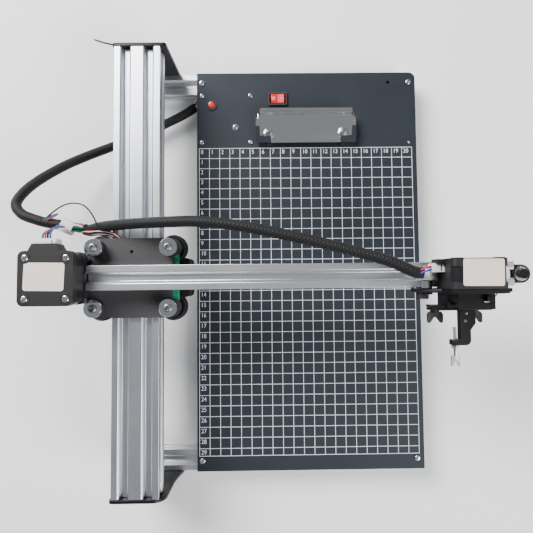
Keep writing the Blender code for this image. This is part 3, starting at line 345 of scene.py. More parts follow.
@dataclass(frozen=True)
class Moulded(Finish):
    """Moulded plastic or rubber: a spark-eroded grain and slight mottling."""

    grain: float = 0.18 * MM
    depth: float = 0.012 * MM
    coat: float = 0.0

    def dress(self, shader: Shader) -> None:
        """Fills in the shader."""
        where = shader.place()
        grain = shader.noise(where, 1 / self.grain, 2.0)
        clouds = shader.noise(where, 70.0, 3.0)
        shader.feed("Base Color", self.tinted(shader, clouds, 0.82, 1.16))
        shader.feed("Roughness", (grain - 0.5) * 0.12 + (clouds - 0.5) * 0.1 + self.roughness)
        shader.feed("Coat Weight", self.coat)
        shader.bump(grain, self.depth)


@dataclass(frozen=True)
class Paper(Finish):
    """Matt paper with fibres, slightly stained."""

    def dress(self, shader: Shader) -> None:
        """Fills in the shader."""
        fibres = shader.noise(shader.place((900, 3200, 900)), 1.0, 4.0, 0.7)
        stains = shader.noise(shader.place(), 55.0, 3.0)
        tone = (fibres * 0.5 + stains * 0.5).clamped()
        shader.feed("Base Color", self.tinted(shader, tone, 0.84, 1.1))
        shader.feed("Roughness", fibres * 0.1 + self.roughness)
        shader.bump(fibres, 0.05 * MM, 0.6)


@dataclass(frozen=True)
class SolderMask(Finish):
    """A circuit board's green lacquer over lighter copper tracks."""

    track_pitch: float = 1.3 * MM

    def dress(self, shader: Shader) -> None:
        """Fills in the shader."""
        where = shader.place()
        settings = {"feature": "DISTANCE_TO_EDGE"}
        inputs = {"Vector": where, "Scale": 0.35 / self.track_pitch, "Randomness": 0.5}
        distance = shader.node("ShaderNodeTexVoronoi", settings, inputs, "Distance")
        tracks = 1.0 - distance.above(0.09)
        shader.feed("Base Color", shader.mixed(tracks, self.colour, shade(self.colour, 1.7)))
        shader.feed("Roughness", shader.noise(where, 300.0) * 0.15 + self.roughness)
        shader.feed("Coat Weight", 0.3)
        shader.bump(tracks, 0.03 * MM)


@dataclass(frozen=True)
class Braid(Finish):
    """An expanding sleeve of crossed filaments, laid out by the piece's own map; the strands'
    crowns are painted lighter and the gaps darker, as painted highlight and painted shade.
    """

    strands: int = 9
    depth: float = 0.25 * MM

    def dress(self, shader: Shader) -> None:
        """Fills in the shader."""
        where = shader.node("ShaderNodeUVMap", {"uv_map": "UVMap"}, {})
        parts = shader.tree.nodes.new("ShaderNodeSeparateXYZ")
        shader.tree.links.new(where.socket, parts.inputs[0])
        around = Value(shader.tree, parts.outputs[0]) * (2 * math.pi * self.strands)
        length = Value(shader.tree, parts.outputs[1]) * (2 * math.pi * self.strands)
        left = (around + length).sine()
        right = (around - length).sine()
        height = (left.largest(right) * 0.5 + 0.5).clamped()
        fuzz = shader.noise(shader.place(), 900.0, 3.0)
        # Tone: painted shade in the gaps between strands and painted highlight on their crowns, by
        # the weave's height, with some random fuzz.
        tone = (height * 0.75 + fuzz * 0.25).clamped()
        shader.feed("Base Color", self.tinted(shader, tone, 0.4, 2.2))
        shader.feed("Roughness", fuzz * 0.2 + self.roughness)
        shader.bump(height, self.depth)


@dataclass(frozen=True)
class Floor(Finish):
    """A plain pale sweep."""

    def dress(self, shader: Shader) -> None:
        """Fills in the shader."""
        soft = shader.noise(shader.place(), 3.0, 2.0)
        shader.feed("Base Color", shader.mixed(soft, shade(self.colour, 0.985), self.colour))
        shader.feed("Roughness", self.roughness)


RAIL_ALUMINIUM = Brushed("rail_aluminium", (0.66, 0.68, 0.72), 0.34, Axis.Y)
ARM_ALUMINIUM = Brushed("arm_aluminium", (0.84, 0.85, 0.87), 0.30, Axis.X)
TURNED_ALUMINIUM = Brushed("turned_aluminium", (0.74, 0.75, 0.77), 0.28, Axis.Z, 0.2 * MM, 2 * MM)
ZINC = Plated("zinc_plate", (0.46, 0.50, 0.53), 0.30, 0.24)
NICKEL = Plated("nickel_plate", (0.58, 0.55, 0.52), 0.2, 0.14)
STEEL = Plated("bare_steel", (0.50, 0.50, 0.51), 0.30)
DARK_STEEL = Plated("dark_steel", (0.26, 0.26, 0.27), 0.34)
BOARD_PAINT = Coated("board_paint", (0.020, 0.024, 0.031), 0.50, 0.3 * MM, 0.01 * MM, 2.4, 0.35)
GRID_INK = Moulded("grid_ink", (0.66, 0.69, 0.74), 0.55, 0.3 * MM, 0.004 * MM)
BLACK_COAT = Coated("black_coat", (0.006, 0.006, 0.007), 0.40, 0.35 * MM, 0.02 * MM, 4.0)
PLATE_COAT = Coated("plate_coat", (0.050, 0.049, 0.051), 0.55, 0.42 * MM, 0.07 * MM, 1.8, 0.7)
MOTOR_BLACK = Coated(
    "motor_black", (0.004, 0.004, 0.005), 0.22, 0.5 * MM, 0.008 * MM, 7.0, 0.3, 0.5 * MM
)
STACK_BLACK = Coated("motor_stack", (0.012, 0.012, 0.014), 0.34, 0.25 * MM, 0.03 * MM, 4.0)
BLACK_PLASTIC = Moulded("black_plastic", (0.006, 0.006, 0.007), 0.42)
SOFT_BLACK = Moulded("soft_black", (0.022, 0.024, 0.032), 0.36, 0.4 * MM, 0.01 * MM, 0.3)
RUBBER = Moulded("black_rubber", (0.010, 0.010, 0.010), 0.72, 0.3 * MM, 0.03 * MM)
WHEEL_BLACK = Moulded("wheel_black", (0.007, 0.007, 0.008), 0.3)
WHEEL_WHITE = Moulded("wheel_white", (0.72, 0.70, 0.65), 0.38)
SWITCH_RED = Moulded("switch_red", (0.50, 0.004, 0.006), 0.22, 0.5 * MM, 0.004 * MM, 0.4)
MARK_WHITE = Moulded("mark_white", (0.80, 0.78, 0.74), 0.5)
PLUG_WHITE = Moulded("plug_white", (0.74, 0.75, 0.70), 0.42)
# Painted shade: a near-black slab that stands for the shade inside a plug's opening.
SLOT_SHADE_PAINT = Moulded("painted_slot_shade", (0.006, 0.006, 0.006), 0.7)
BEIGE_PAPER = Paper("beige_paper", (0.70, 0.63, 0.57), 0.8)
GREEN_BOARD = SolderMask("green_board", (0.010, 0.20, 0.09), 0.3)
SLEEVE = Braid("black_sleeve", (0.005, 0.005, 0.0055), 0.42)
WIRE_RED = Moulded("wire_red", (0.55, 0.015, 0.03), 0.4)
WIRE_BLUE = Moulded("wire_blue", (0.03, 0.05, 0.45), 0.4)
WIRE_GREEN = Moulded("wire_green", (0.0, 0.16, 0.11), 0.4)
WIRE_BLACK = Moulded("wire_black", (0.012, 0.012, 0.012), 0.38)
WIRE_BROWN = Moulded("wire_brown", (0.30, 0.05, 0.03), 0.42)
WIRE_WHITE = Moulded("wire_white", (0.72, 0.70, 0.68), 0.4)
PALE_FLOOR = Floor("pale_floor", (0.90, 0.90, 0.90), 0.85)


# Shapes


def arc(middle: Point, radius: float, start: float, end: float, steps: int = 6) -> Outline:
    """Points along an arc, from one angle to another in degrees."""
    turns = [math.radians(start + (end - start) * n / steps) for n in range(steps + 1)]
    return [(middle[0] + radius * math.cos(a), middle[1] + radius * math.sin(a)) for a in turns]


def rounded(
    width: float, depth: float, corner: float, middle: Point = (0, 0), steps: int = 5
) -> Outline:
    """The outline of a rectangle with round corners."""
    x, y = width / 2 - corner, depth / 2 - corner
    outline: Outline = []
    for cx, cy, start in ((x, y, 0), (-x, y, 90), (-x, -y, 180), (x, -y, 270)):
        outline += arc((middle[0] + cx, middle[1] + cy), corner, start, start + 90, steps)
    return outline


def band(hole: float, rim: float, low: float, high: float) -> Outline:
    """The profile of a plain ring."""
    return [(hole, low), (rim, low), (rim, high), (hole, high)]


def smooth_route(route: Sequence[Point], steps: int) -> list[Vector]:
    """Points spread along a Catmull-Rom curve through a route, in the frame's metres."""
    places = [rail_point(*p) for p in route]
    ends = [2 * places[0] - places[1], *places, 2 * places[-1] - places[-2]]
    points = []
    for before, start, end, after in zip(ends, ends[1:], ends[2:], ends[3:]):
        for n in range(steps):
            t = n / steps
            bend = (2 * before - 5 * start + 4 * end - after) * t**2
            turn = (3 * start - before - 3 * end + after) * t**3
            points.append(0.5 * (2 * start + (end - before) * t + bend + turn))
    return [*points, places[-1]]


def route_length(points: Sequence[Vector]) -> float:
    """The length of a line through points."""
    return sum((b - a).length for a, b in zip(points, points[1:]))


def axis_turn(axis: Axis, reverse: bool = False) -> Matrix:
    """The turn that takes Z to an axis, or to its opposite."""
    way = Vector([1.0 if n == axis.value else 0.0 for n in range(3)])
    return (-way if reverse else way).to_track_quat("Z", "Y").to_matrix().to_4x4()


class Shape:
    """Closed shells that become one mesh, each with its own finish."""

    BEVEL_PROFILE = 0.6
    LUMP_SEED = 7

    def __init__(self) -> None:
        """Starts with no shells."""
        self.bm = bmesh.new()
        self.bm.loops.layers.uv.new("UVMap")
        self.finishes: list[Finish] = []

    def take(
        self,
        part: bmesh.types.BMesh,
        finish: Finish,
        place: Matrix | None = None,
        bevel: float = 0.0,
    ) -> None:
        """Adds a shell.

        Args:
            part: The shell, which is used up.
            finish: What it is dressed in.
            place: Where it goes.
            bevel: The width of its rounded edges.
        """
        if bevel:
            sharp = [e for e in part.edges if e.is_manifold and e.calc_face_angle(0) > BEVEL_CREASE]
            bmesh.ops.bevel(
                part,
                geom=sharp,
                offset=bevel,
                segments=2,
                affect="EDGES",
                profile=self.BEVEL_PROFILE,
                clamp_overlap=True,
            )
        if place is not None:
            part.transform(place)
        bmesh.ops.recalc_face_normals(part, faces=part.faces)
        if finish not in self.finishes:
            self.finishes.append(finish)
        for face in part.faces:
            face.material_index = self.finishes.index(finish)
            face.smooth = True
        mesh = bpy.data.meshes.new("shell")
        part.to_mesh(mesh)
        part.free()
        self.bm.from_mesh(mesh)
        bpy.data.meshes.remove(mesh)

    def block(
        self,
        low: Point,
        high: Point,
        finish: Finish,
        bevel: float = 0.3 * MM,
        place: Matrix | None = None,
    ) -> None:
        """Adds a block between two opposite corners."""
        low, high = Vector(low), Vector(high)
        part = new_shell()
        where = Matrix.Translation((low + high) / 2) @ Matrix.Diagonal((*(high - low), 1))
        bmesh.ops.create_cube(part, size=1, matrix=where)
        self.take(part, finish, place, bevel)

    def plate(
        self,
        outline: Outline,
        low: float,
        high: float,
        finish: Finish,
        place: Matrix | None = None,
        bevel: float = 0.3 * MM,
    ) -> None:
        """Adds a flat outline drawn up from low to high."""
        part = new_shell()
        bottom = [part.verts.new((x, y, low)) for x, y in outline]
        top = [part.verts.new((x, y, high)) for x, y in outline]
        part.faces.new(bottom)
        part.faces.new(top)
        for n in range(len(outline)):
            m = (n + 1) % len(outline)
            part.faces.new((bottom[n], bottom[m], top[m], top[n]))
        self.take(part, finish, place, bevel)

    def turned(
        self,
        profile: Sequence[tuple],
        finish: Finish,
        place: Matrix,
        steps: int = 32,
        ring: bool = False,
    ) -> None:
        """Adds a turned shell about Z.

        Args:
            profile: Points of (radius, height), with "hex" added where the ring is a hexagon.
            finish: What it is dressed in.
            place: Where it goes.
            steps: Its sides, a multiple of six.
            ring: Whether the profile is closed on itself, as a washer's is.
        """
        part = new_shell()
        rings = []
        for radius, height, *kind in profile:
            if radius == 0:
                rings.append([part.verts.new((0, 0, height))])
                continue
            points = []
            for n in range(steps):
                a = 2 * math.pi * n / steps
                reach = radius
                if kind:
                    sixth = math.pi / 3
                    reach = radius / math.cos((a + sixth / 2) % sixth - sixth / 2)
                points.append(part.verts.new((reach * math.cos(a), reach * math.sin(a), height)))
            rings.append(points)
        pairs = list(zip(rings, rings[1:]))
        if ring:
            pairs.append((rings[-1], rings[0]))
        for lower, upper in pairs:
            for n in range(steps):
                m = (n + 1) % steps
                turn = ((lower, n), (lower, m), (upper, m), (upper, n))
                corners = [line[k % len(line)] for line, k in turn]
                part.faces.new(list(dict.fromkeys(corners)))
        if not ring:
            for end in (rings[0], rings[-1]):
                if len(end) > 2:
                    part.faces.new(end)
        self.take(part, finish, place)

    def tube(
        self,
        points: Sequence[Vector],
        radius: float,
        finish: Finish,
        sides: int = 12,
        lumps: float = 0.0,
    ) -> None:
        """Adds a closed tube along points, with a map that runs round it and along it."""
        part = new_shell()
        layer = part.loops.layers.uv.active
        wobble = random.Random(self.LUMP_SEED)
        across = Vector((0, 0, 1))
        rings, lengths, length = [], [], 0.0
        for n, point in enumerate(points):
            ahead = (points[min(n + 1, len(points) - 1)] - points[max(n - 1, 0)]).normalized()
            across = (across - across.dot(ahead) * ahead).normalized()
            side = ahead.cross(across)
            reach = radius * (1 - lumps * wobble.random())
            turns = [2 * math.pi * k / sides for k in range(sides)]
            spokes = [math.cos(a) * across + math.sin(a) * side for a in turns]
            rings.append([part.verts.new(point + reach * spoke) for spoke in spokes])
            if n:
                length += (point - points[n - 1]).length
            lengths.append(length / (2 * math.pi * radius))
        for n, (lower, upper) in enumerate(zip(rings, rings[1:])):
            for k in range(sides):
                m = (k + 1) % sides
                face = part.faces.new((lower[k], lower[m], upper[m], upper[k]))
                places = ((k, n), (k + 1, n), (k + 1, n + 1), (k, n + 1))
                for loop, (u, v) in zip(face.loops, places):
                    loop[layer].uv = (u / sides, lengths[v])
        part.faces.new(rings[0])
        part.faces.new(rings[-1])
        self.take(part, finish)

    def object(self, name: str) -> bpy.types.Object:
        """The shells as one object at the origin."""
        mesh = bpy.data.meshes.new(name)
        self.bm.to_mesh(mesh)
        self.bm.free()
        for finish in self.finishes:
            mesh.materials.append(finish.material())
        mesh.set_sharp_from_angle(angle=SHELL_CREASE)
        return linked(name, mesh)


def linked(name: str, data: bpy.types.ID | None) -> bpy.types.Object:
    """A new object in the scene."""
    made = bpy.data.objects.new(name, data)
    bpy.context.scene.collection.objects.link(made)
    return made


def plain_mesh(holder: bpy.types.Object) -> bpy.types.Mesh:
    """The mesh that an object's text or modifiers come to."""
    bpy.context.view_layer.update()
    seen = holder.evaluated_get(bpy.context.evaluated_depsgraph_get())
    return bpy.data.meshes.new_from_object(seen)


def new_shell() -> bmesh.types.BMesh:
    """An empty mesh with a map."""
    part = bmesh.new()
    part.loops.layers.uv.new("UVMap")
    return part


def body_of_node(node: str) -> str:
    """The body that a CAD node belongs to."""
    bodies = frame["record"]["behaviour"]["bodies"]
    return next(body for body, members in bodies.items() if node in members)


def settle(made: bpy.types.Object, slot: str, body: str, *nodes: str) -> bpy.types.Object:
    """Gives a finished piece its body, hides the CAD nodes it stands for, and reports it."""
    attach(made, body)
    if nodes:
        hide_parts(*nodes)
    LOG.info("%s rides on %s, %d faces", made.name, body, len(made.data.polygons))
    return made


def softened(
    node: str, finish: Finish, slot: str, width: float = 0.3 * MM, ceiling: float | None = None
) -> bpy.types.Object:
    """A copy of a CAD node's shape with rounded edges, which stands for it.

    Args:
        node: The CAD node.
        finish: What the copy is dressed in.
        slot: The record's slot that it belongs to; not used.
        width: How wide its edges are rounded.
        ceiling: The height above which the copy is cut away.

    Returns:
        The copy.
    """
    bm = bmesh.new()
    bm.from_mesh(frame["nodes"][node].data)
    bmesh.ops.remove_doubles(bm, verts=bm.verts, dist=0.002 * MM)
    bmesh.ops.dissolve_limit(bm, angle_limit=math.radians(1), verts=bm.verts, edges=bm.edges)
    if ceiling is not None:
        every = [*bm.verts, *bm.edges, *bm.faces]
        cut = bmesh.ops.bisect_plane(
            bm, geom=every, plane_co=(0, 0, ceiling), plane_no=(0, 0, 1), clear_outer=True
        )
        rim = [item for item in cut["geom_cut"] if isinstance(item, bmesh.types.BMEdge)]
        bmesh.ops.holes_fill(bm, edges=rim, sides=0)
    mesh = bpy.data.meshes.new(node)
    bm.to_mesh(mesh)
    bm.free()
    for face in mesh.polygons:
        face.use_smooth = True
    mesh.materials.clear()
    mesh.materials.append(finish.material())
    mesh.set_sharp_from_angle(angle=COPY_CREASE)
    made = linked(f"{node}_skin", mesh)
    round_edges = made.modifiers.new("rounded_edges", "BEVEL")
    round_edges.width = width
    round_edges.segments = 2
    round_edges.limit_method = "ANGLE"
    round_edges.angle_limit = ROUND_CREASE
    round_edges.harden_normals = False
    return settle(made, slot, body_of_node(node), node)


# Geometry Nodes


class Repeat:
    """A Geometry Nodes tree with named inputs, whose result becomes a plain mesh."""

    def __init__(self, name: str) -> None:
        """Starts a tree with an output for its geometry and an input for its material."""
        self.tree = bpy.data.node_groups.new(name, "GeometryNodeTree")
        self.tree.interface.new_socket(
            name="Geometry", in_out="OUTPUT", socket_type="NodeSocketGeometry"
        )
        self.source = self.tree.nodes.new("NodeGroupInput")
        self.ends: dict[str, str] = {}
        self.inputs(Material="Material")

    def inputs(self, **kinds: str) -> None:
        """Adds named inputs, each of its kind of socket."""
        for name, kind in kinds.items():
            item = self.tree.interface.new_socket(
                name=name, in_out="INPUT", socket_type=f"NodeSocket{kind}"
            )
            self.ends[name] = item.identifier

    def node(self, kind: str, settings: dict[str, Any], links: dict[Any, Any]) -> bpy.types.Node:
        """Adds a node.

        Args:
            kind: The node's type.
            settings: Its properties.
            links: For each of its inputs, another node, an input's name, or a plain value.

        Returns:
            The node.
        """
        node = self.tree.nodes.new(kind)
        for key, value in settings.items():
            setattr(node, key, value)
        for key, value in links.items():
            if isinstance(value, bpy.types.Node):
                self.tree.links.new(value.outputs[0], node.inputs[key])
            elif isinstance(value, str):
                self.tree.links.new(self.source.outputs[value], node.inputs[key])
            else:
                node.inputs[key].default_value = value
        return node

    def close(self, instances: bpy.types.Node) -> "Repeat":
        """Ends the tree: instances are made real and given their material."""
        real = self.node("GeometryNodeRealizeInstances", {}, {0: instances})
        links = {"Geometry": real, "Material": "Material"}
        dressed = self.node("GeometryNodeSetMaterial", {}, links)
        sink = self.tree.nodes.new("NodeGroupOutput")
        self.tree.links.new(dressed.outputs[0], sink.inputs[0])
        return self

    def grow(
        self, name: str, finish: Finish, values: dict[str, Any], bevel: float = 0.0
    ) -> bpy.types.Object:
        """Runs the tree on an empty mesh.

        Args:
            name: The new piece's name.
            finish: What it is dressed in.
            values: The inputs, by name.
            bevel: The width of its rounded edges.

        Returns:
            A plain mesh object.
        """
        holder = linked(name, bpy.data.meshes.new(name))
        change = holder.modifiers.new("repeat", "NODES")
        change.node_group = self.tree
        change[self.ends["Material"]] = finish.material()
        for key, value in values.items():
            change[self.ends[key]] = value
        mesh = plain_mesh(holder)
        holder.modifiers.clear()
        if bevel:
            bm = bmesh.new()
            bm.from_mesh(mesh)
            bmesh.ops.bevel(bm, geom=bm.edges, offset=bevel, segments=1, affect="EDGES")
            bm.to_mesh(mesh)
            bm.free()
        holder.data = mesh
        return holder


def row_tree() -> Repeat:
    """Equal blocks in a straight row."""
    tree = Repeat("row_of_blocks")
    tree.inputs(Count="Int", Start="Vector", Step="Vector", Size="Vector")
    links = {"Count": "Count", "Start Location": "Start", "Offset": "Step"}
    line = tree.node("GeometryNodeMeshLine", {"mode": "OFFSET"}, links)
    brick = tree.node("GeometryNodeMeshCube", {}, {"Size": "Size"})
    placed = tree.node("GeometryNodeInstanceOnPoints", {}, {"Points": line, "Instance": brick})
    return tree.close(placed)


def ring_tree() -> Repeat:
    """Equal ribs round a circle about Z, facing outwards, then placed and turned as one."""
    tree = Repeat("ring_of_ribs")
    tree.inputs(Count="Int", Radius="Float", Size="Vector", Place="Vector", Turn="Vector")
    circle = tree.node("GeometryNodeMeshCircle", {}, {"Vertices": "Count", "Radius": "Radius"})
    rib = tree.node("GeometryNodeMeshCube", {}, {"Size": "Size"})
    where = tree.node("GeometryNodeInputPosition", {}, {})
    facing = tree.node("FunctionNodeAlignEulerToVector", {"axis": "X"}, {"Vector": where})
    links = {"Points": circle, "Instance": rib, "Rotation": facing}
    placed = tree.node("GeometryNodeInstanceOnPoints", {}, links)
    links = {"Geometry": placed, "Translation": "Place", "Rotation": "Turn"}
    return tree.close(tree.node("GeometryNodeTransform", {}, links))


class Trees:
    """The Geometry Nodes trees that the sub-assemblies share."""

    def __init__(self) -> None:
        """Builds each tree once."""
        self.row = row_tree()
        self.ring = ring_tree()


# Camera and harness, made first


@dataclass
class ViewCamera:
    """The camera that looks down on the machine.

    The turn's rows are the picture's right, down and forward axes in the frame.
    """

    place: Point = (-0.00771, -0.01397, 0.53057)
    right: Point = (0.99988, -0.01059, 0.01114)
    down: Point = (-0.00992, -0.99823, -0.05857)
    forward: Point = (0.01174, 0.05846, -0.99822)
    lens: float = 35.08
    shift: Point = (-0.0268, -0.0344)

    def build(self) -> bpy.types.Object:
        """Makes it the scene's camera."""
        lens = bpy.data.cameras.new("view_camera")
        lens.lens = self.lens
        lens.sensor_width = 36
        lens.shift_x, lens.shift_y = self.shift
        lens.clip_start = 0.01
        lens.dof.use_dof = False
        made = linked("view_camera", lens)
        axes = (Vector(self.right), -Vector(self.down), -Vector(self.forward))
        turn = Matrix([[axis[n] for axis in axes] for n in range(3)]).to_4x4()
        made.matrix_world = Matrix.Translation(Vector(self.place)) @ turn
        bpy.context.scene.camera = made
        return made


def as_cord(made: bpy.types.Object, path: Sequence[Vector], diameter: float) -> bpy.types.Object:
    """Returns the finished piece as it is."""
    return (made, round(route_length(path), 4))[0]


@dataclass
class Wire:
    """One insulated wire between two places on the machine.

    Its route is in millimetres from the rail's middle.
    """

    name: str
    route: Sequence[Point]
    finish: Finish
    body: str
    diameter: float = 1.2 * MM

    def build(self) -> bpy.types.Object:
        path = smooth_route(self.route, 6)
        shape = Shape()
        shape.tube(path, self.diameter / 2, self.finish, 10)
        made = settle(shape.object(self.name), "sleeve_black", self.body)
        if route_length(path) < SHORTEST_CORD:
            return made
        return as_cord(made, path, self.diameter)


@dataclass
class Harness:
    """The braided sleeve from the board to the pen carriage, and the wires at its ends."""

    radius: float = 4.6 * MM
    weave_share: float = 0.985
    steps: int = 10
    tag_length: float = 19.4 * MM
    core_radius: float = 3.4 * MM

    # Each run's route, and where its bend starts and ends, in millimetres from the rail's middle.
    REAR = (
        (40.2, 163.4, 12), (26, 155, 11), (8, 146, 11), (-14, 134, 13), (-39.5, 121.4, 22),
        (-60, 110, 32), (-78, 98, 43), (-94.5, 83, 56), (-105, 69.5, 66), (-108.5, 57, 74),
        (-101, 47.5, 79), (-88, 42.2, 81.6), (-78, 39.35, 82), (-65.9, 37.25, 82),
    )
    REAR_BEND = ((-14, 134, 13), (-88, 42, 82))
    FRONT = (
        (-45.6, 33.67, 82), (-40.8, 32.82, 82), (-30, 34.2, 89), (-10, 35.2, 99),
        (9.3, 35.3, 108), (33.4, 35.5, 114), (60, 35.2, 117), (94, 30.7, 119), (141, 20.5, 121),
        (187, 8, 126), (208, 1.5, 130), (225, -6.6, 133), (232.4, -7.8, 133.2),
    )
    FRONT_BEND = ((-40, 33, 82), (225, -7, 133))
    TAG_ENDS = ((-65.4, 37.2, 82), (-46.0, 33.8, 82))
    TAG_SIZE = (10.5, 13.6, 12.4)
    CREASE_SEED = 11

    def sleeve(
        self, name: str, route: Sequence[Point], bodies: tuple[str, str]
    ) -> None:
        """Makes one run of the sleeve along its route; the two bodies are only named in the log."""
        path = smooth_route(route, self.steps)
        shape = Shape()
        shape.tube(path, self.radius * self.weave_share, SLEEVE, 28, 0.02)
        made = shape.object(f"{name}_sleeve")
        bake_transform(made)
        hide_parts(name)
        as_cord(made, path, 2 * self.radius)
        LOG.info("%s bends between %s, %.3f m", made.name, bodies, route_length(path))

    def build(self) -> None:
        """Makes the sleeves and the loose wires."""
        self.sleeve("harness_rear", self.REAR, ("base", "y_carriage"))
        bodies = ("y_carriage", "pen_carriage")
        self.sleeve("harness_front", self.FRONT, bodies)
        self.motor_wires()
        self.pen_wires()
        self.board_wires()

    def motor_wires(self) -> None:
        """The X motor's four wires, from its socket to the tag, and the loose loop beside them."""
        finishes = (WIRE_GREEN, WIRE_RED, WIRE_BLACK, WIRE_BLUE)
        for n, finish in enumerate(finishes):
            x = -62 + 2.1 * n
            route = (
                (x, 21.4, 125), (x - 0.2, 25.4, 124 + 0.6 * n),
                (x - 0.8 - 0.2 * n, 29.5 + 0.4 * n, 114 + n),
                (x - 1.2 - 0.5 * n, 32.5 + 0.5 * n, 101 + n), (x - 1.4 - 0.8 * n, 34.6, 89.4),
            )
            Wire(f"x_motor_wire_{n + 1}", route, finish, "y_carriage", 1.5 * MM).build()
        loop = (
            (-77, 43, 85.5), (-70, 47.4, 89), (-60, 52.4, 93), (-50, 54, 96), (-41, 52, 98),
            (-35, 46.5, 98.5), (-31.5, 40, 97), (-30.5, 35.5, 94.2),
        )
        Wire("spare_loop", loop, WIRE_BLACK, "y_carriage", 1.3 * MM).build()
        bundle = (
            (WIRE_BROWN, 0.0, 0.0), (WIRE_WHITE, 1.4, 1.0), (WIRE_BLACK, -1.4, 0.4),
            (WIRE_BROWN, 2.6, -0.4), (WIRE_BLACK, 0.8, 1.9),
        )
        for n, (finish, side, rise) in enumerate(bundle):
            route = (
                (-46, 30 + 0.6 * side, 84 + rise), (-38, 28.6 + side, 89 + rise),
                (-28, 28.9 + side, 91.4 + rise), (-18 + side, 26.6 + 0.6 * side, 90 + 0.6 * rise),
                (-12 + 1.5 * side, 20, 88), (-8 + 1.6 * side, 8, 87.7),
            )
            Wire(f"junction_wire_{n + 1}", route, finish, "y_carriage", 1.2 * MM).build()
        stubs = Shape()
        for n, finish in enumerate((WIRE_RED, WIRE_GREEN, WIRE_BLUE)):
            y = 41.2 + 1.2 * n
            route = (
                (-79, y - 1, 85 + 0.4 * n), (-74, y + 0.6, 86.6),
                (-69, y + 3 - 0.5 * n, 87.4), (-66, y + 4.6 - n, 88),
            )
            stubs.tube(smooth_route(route, 5), 0.65 * MM, finish, 10)
        settle(stubs.object("spare_wire_ends"), "sleeve_black", "y_carriage")
        self.tag()

    def tag(self) -> None:
        """The paper tag round the wires, and the bare wires that lead into the front sleeve."""
        shape = Shape()
        start, end = (rail_point(*place) for place in self.TAG_ENDS)
        along = (end - start).normalized()
        steps = 8
        core = [start + along * (self.tag_length * n / steps) for n in range(steps + 1)]
        shape.tube(core, self.core_radius, SLEEVE, 16)
        finishes = (WIRE_BLUE, WIRE_RED, WIRE_WHITE, WIRE_GREEN, WIRE_BLACK, WIRE_GREEN, WIRE_RED)
        side = Vector((-along.y, along.x, 0))
        for n, finish in enumerate(finishes):
            a = math.radians(18 + 24 * n)
            spoke = math.cos(a) * side + math.sin(a) * Vector((0, 0, 1))
            path = []
            for m, place in enumerate(core):
                ripple = (3.9 + 0.5 * math.sin(0.9 * m + n)) * MM
                path.append(place + (3.0 * MM if m in (0, steps) else ripple) * spoke)
            shape.tube(path, 0.72 * MM, finish, 10)
        settle(shape.object("tag_wires"), "tag_beige", "y_carriage", "harness_tag")
        self.tag_paper()

    def tag_paper(self) -> None:
        """The crumpled paper of the tag."""
        wobble = random.Random(self.CREASE_SEED)
        paper = Shape()
        part = new_shell()
        turn = Matrix.Translation(rail_point(-59.8, 35.4, 82))
        turn @= Matrix.Rotation(math.radians(-26), 4, "Z")
        bmesh.ops.create_cube(part, size=1)
        bmesh.ops.subdivide_edges(part, edges=part.edges, cuts=5, use_grid_fill=True)
        width, depth, height = self.TAG_SIZE
        for vert in part.verts:
            x, y, z = vert.co
            squeeze = 1 - 0.16 * (abs(y) * 2) ** 2 - 0.16 * (abs(z) * 2) ** 2
            crease = Vector([wobble.uniform(-1, 1) for _ in range(3)]) * 0.35
            place = Vector((x * width, y * depth * squeeze, z * height * squeeze))
            vert.co = (place + crease) * MM
        paper.take(part, BEIGE_PAPER, turn)
        settle(paper.object("tag_paper"), "tag_beige", "y_carriage")

    def pen_wires(self) -> None:
        """The wires of the pen lift's motor and of its limit switch."""
        for n, finish in enumerate((WIRE_RED, WIRE_BLUE)):
            route = (
                (229.5, -5.6 - 2.2 * n, 137.2), (232.5, -4.2 - 2.4 * n, 138.2),
                (236, -3.4 - 2.2 * n, 137.6), (239, -2.6 - 2.2 * n, 135.6),
            )
            Wire(f"z_motor_wire_{n + 1}", route, finish, "pen_carriage", 1.6 * MM).build()
        switch = (
            (
                (277, -25.4, 113.6), (281, -28.4, 117.5), (287, -29.4, 119),
                (292.8, -26.6, 120), (294.6, -21.5, 122),
            ),
            (
                (274, -25.0, 113.6), (279, -27.2, 119.2), (286, -27.6, 121),
                (291, -25, 122), (292.6, -21.5, 124),
            ),
        )
        for n, route in enumerate(switch):
            Wire(f"limit_switch_wire_{n + 1}", route, WIRE_BROWN, "pen_carriage", 1.1 * MM).build()

    def board_wires(self) -> None:
        """The wires that fan out of the sleeve under the board's edge."""
        for n, finish in enumerate((WIRE_WHITE, WIRE_RED, WIRE_BLACK, WIRE_WHITE)):
            route = (
                (38, 160.5 + 1.8 * n, 14 + 0.3 * n), (43, 164 + 2.2 * n, 15.5),
                (52, 166 + 2.6 * n, 15.2), (62, 165 + 2.4 * n, 14.4), (74, 160 + 2 * n, 13.6),
            )
            Wire(f"board_wire_{n + 1}", route, finish, "base", 1.2 * MM).build()


# Fasteners and turned parts


@dataclass
class CapScrew:
    """A button-head screw with a hexagon socket, drawn upwards from its seat."""

    head: float = 4.0 * MM
    height: float = 2.4 * MM
    socket: float = 1.6 * MM
    washer: float = 0.0
    washer_height: float = 1.0 * MM

    def add(self, shape: Shape, place: Matrix, head: Finish, plate: Finish = ZINC) -> None:
        """Adds the screw, and its washer if it has one."""
        seat = self.washer_height if self.washer else 0.0
        if self.washer:
            rim, t = self.washer, self.washer_height
            hole, cut = self.head * 0.55, 0.2 * MM
            ring = [
                (hole, 0), (rim - cut, 0), (rim, cut), (rim, t - cut), (rim - cut, t), (hole, t),
            ]
            shape.turned(ring, plate, place, 48, True)
        r, h, s = self.head, self.height, self.socket
        dome = [
            (r * 0.86, 0), (r, 0.25 * h), (r, 0.5 * h), (0.94 * r, 0.76 * h), (0.78 * r, 0.94 * h),
            (0.62 * r, h), (s * 1.12, h), (s, h - 0.12 * MM, "hex"), (s, 0.3 * h, "hex"),
            (0, 0.3 * h),
        ]
        shape.turned(dome, head, place @ Matrix.Translation((0, 0, seat)), 36)


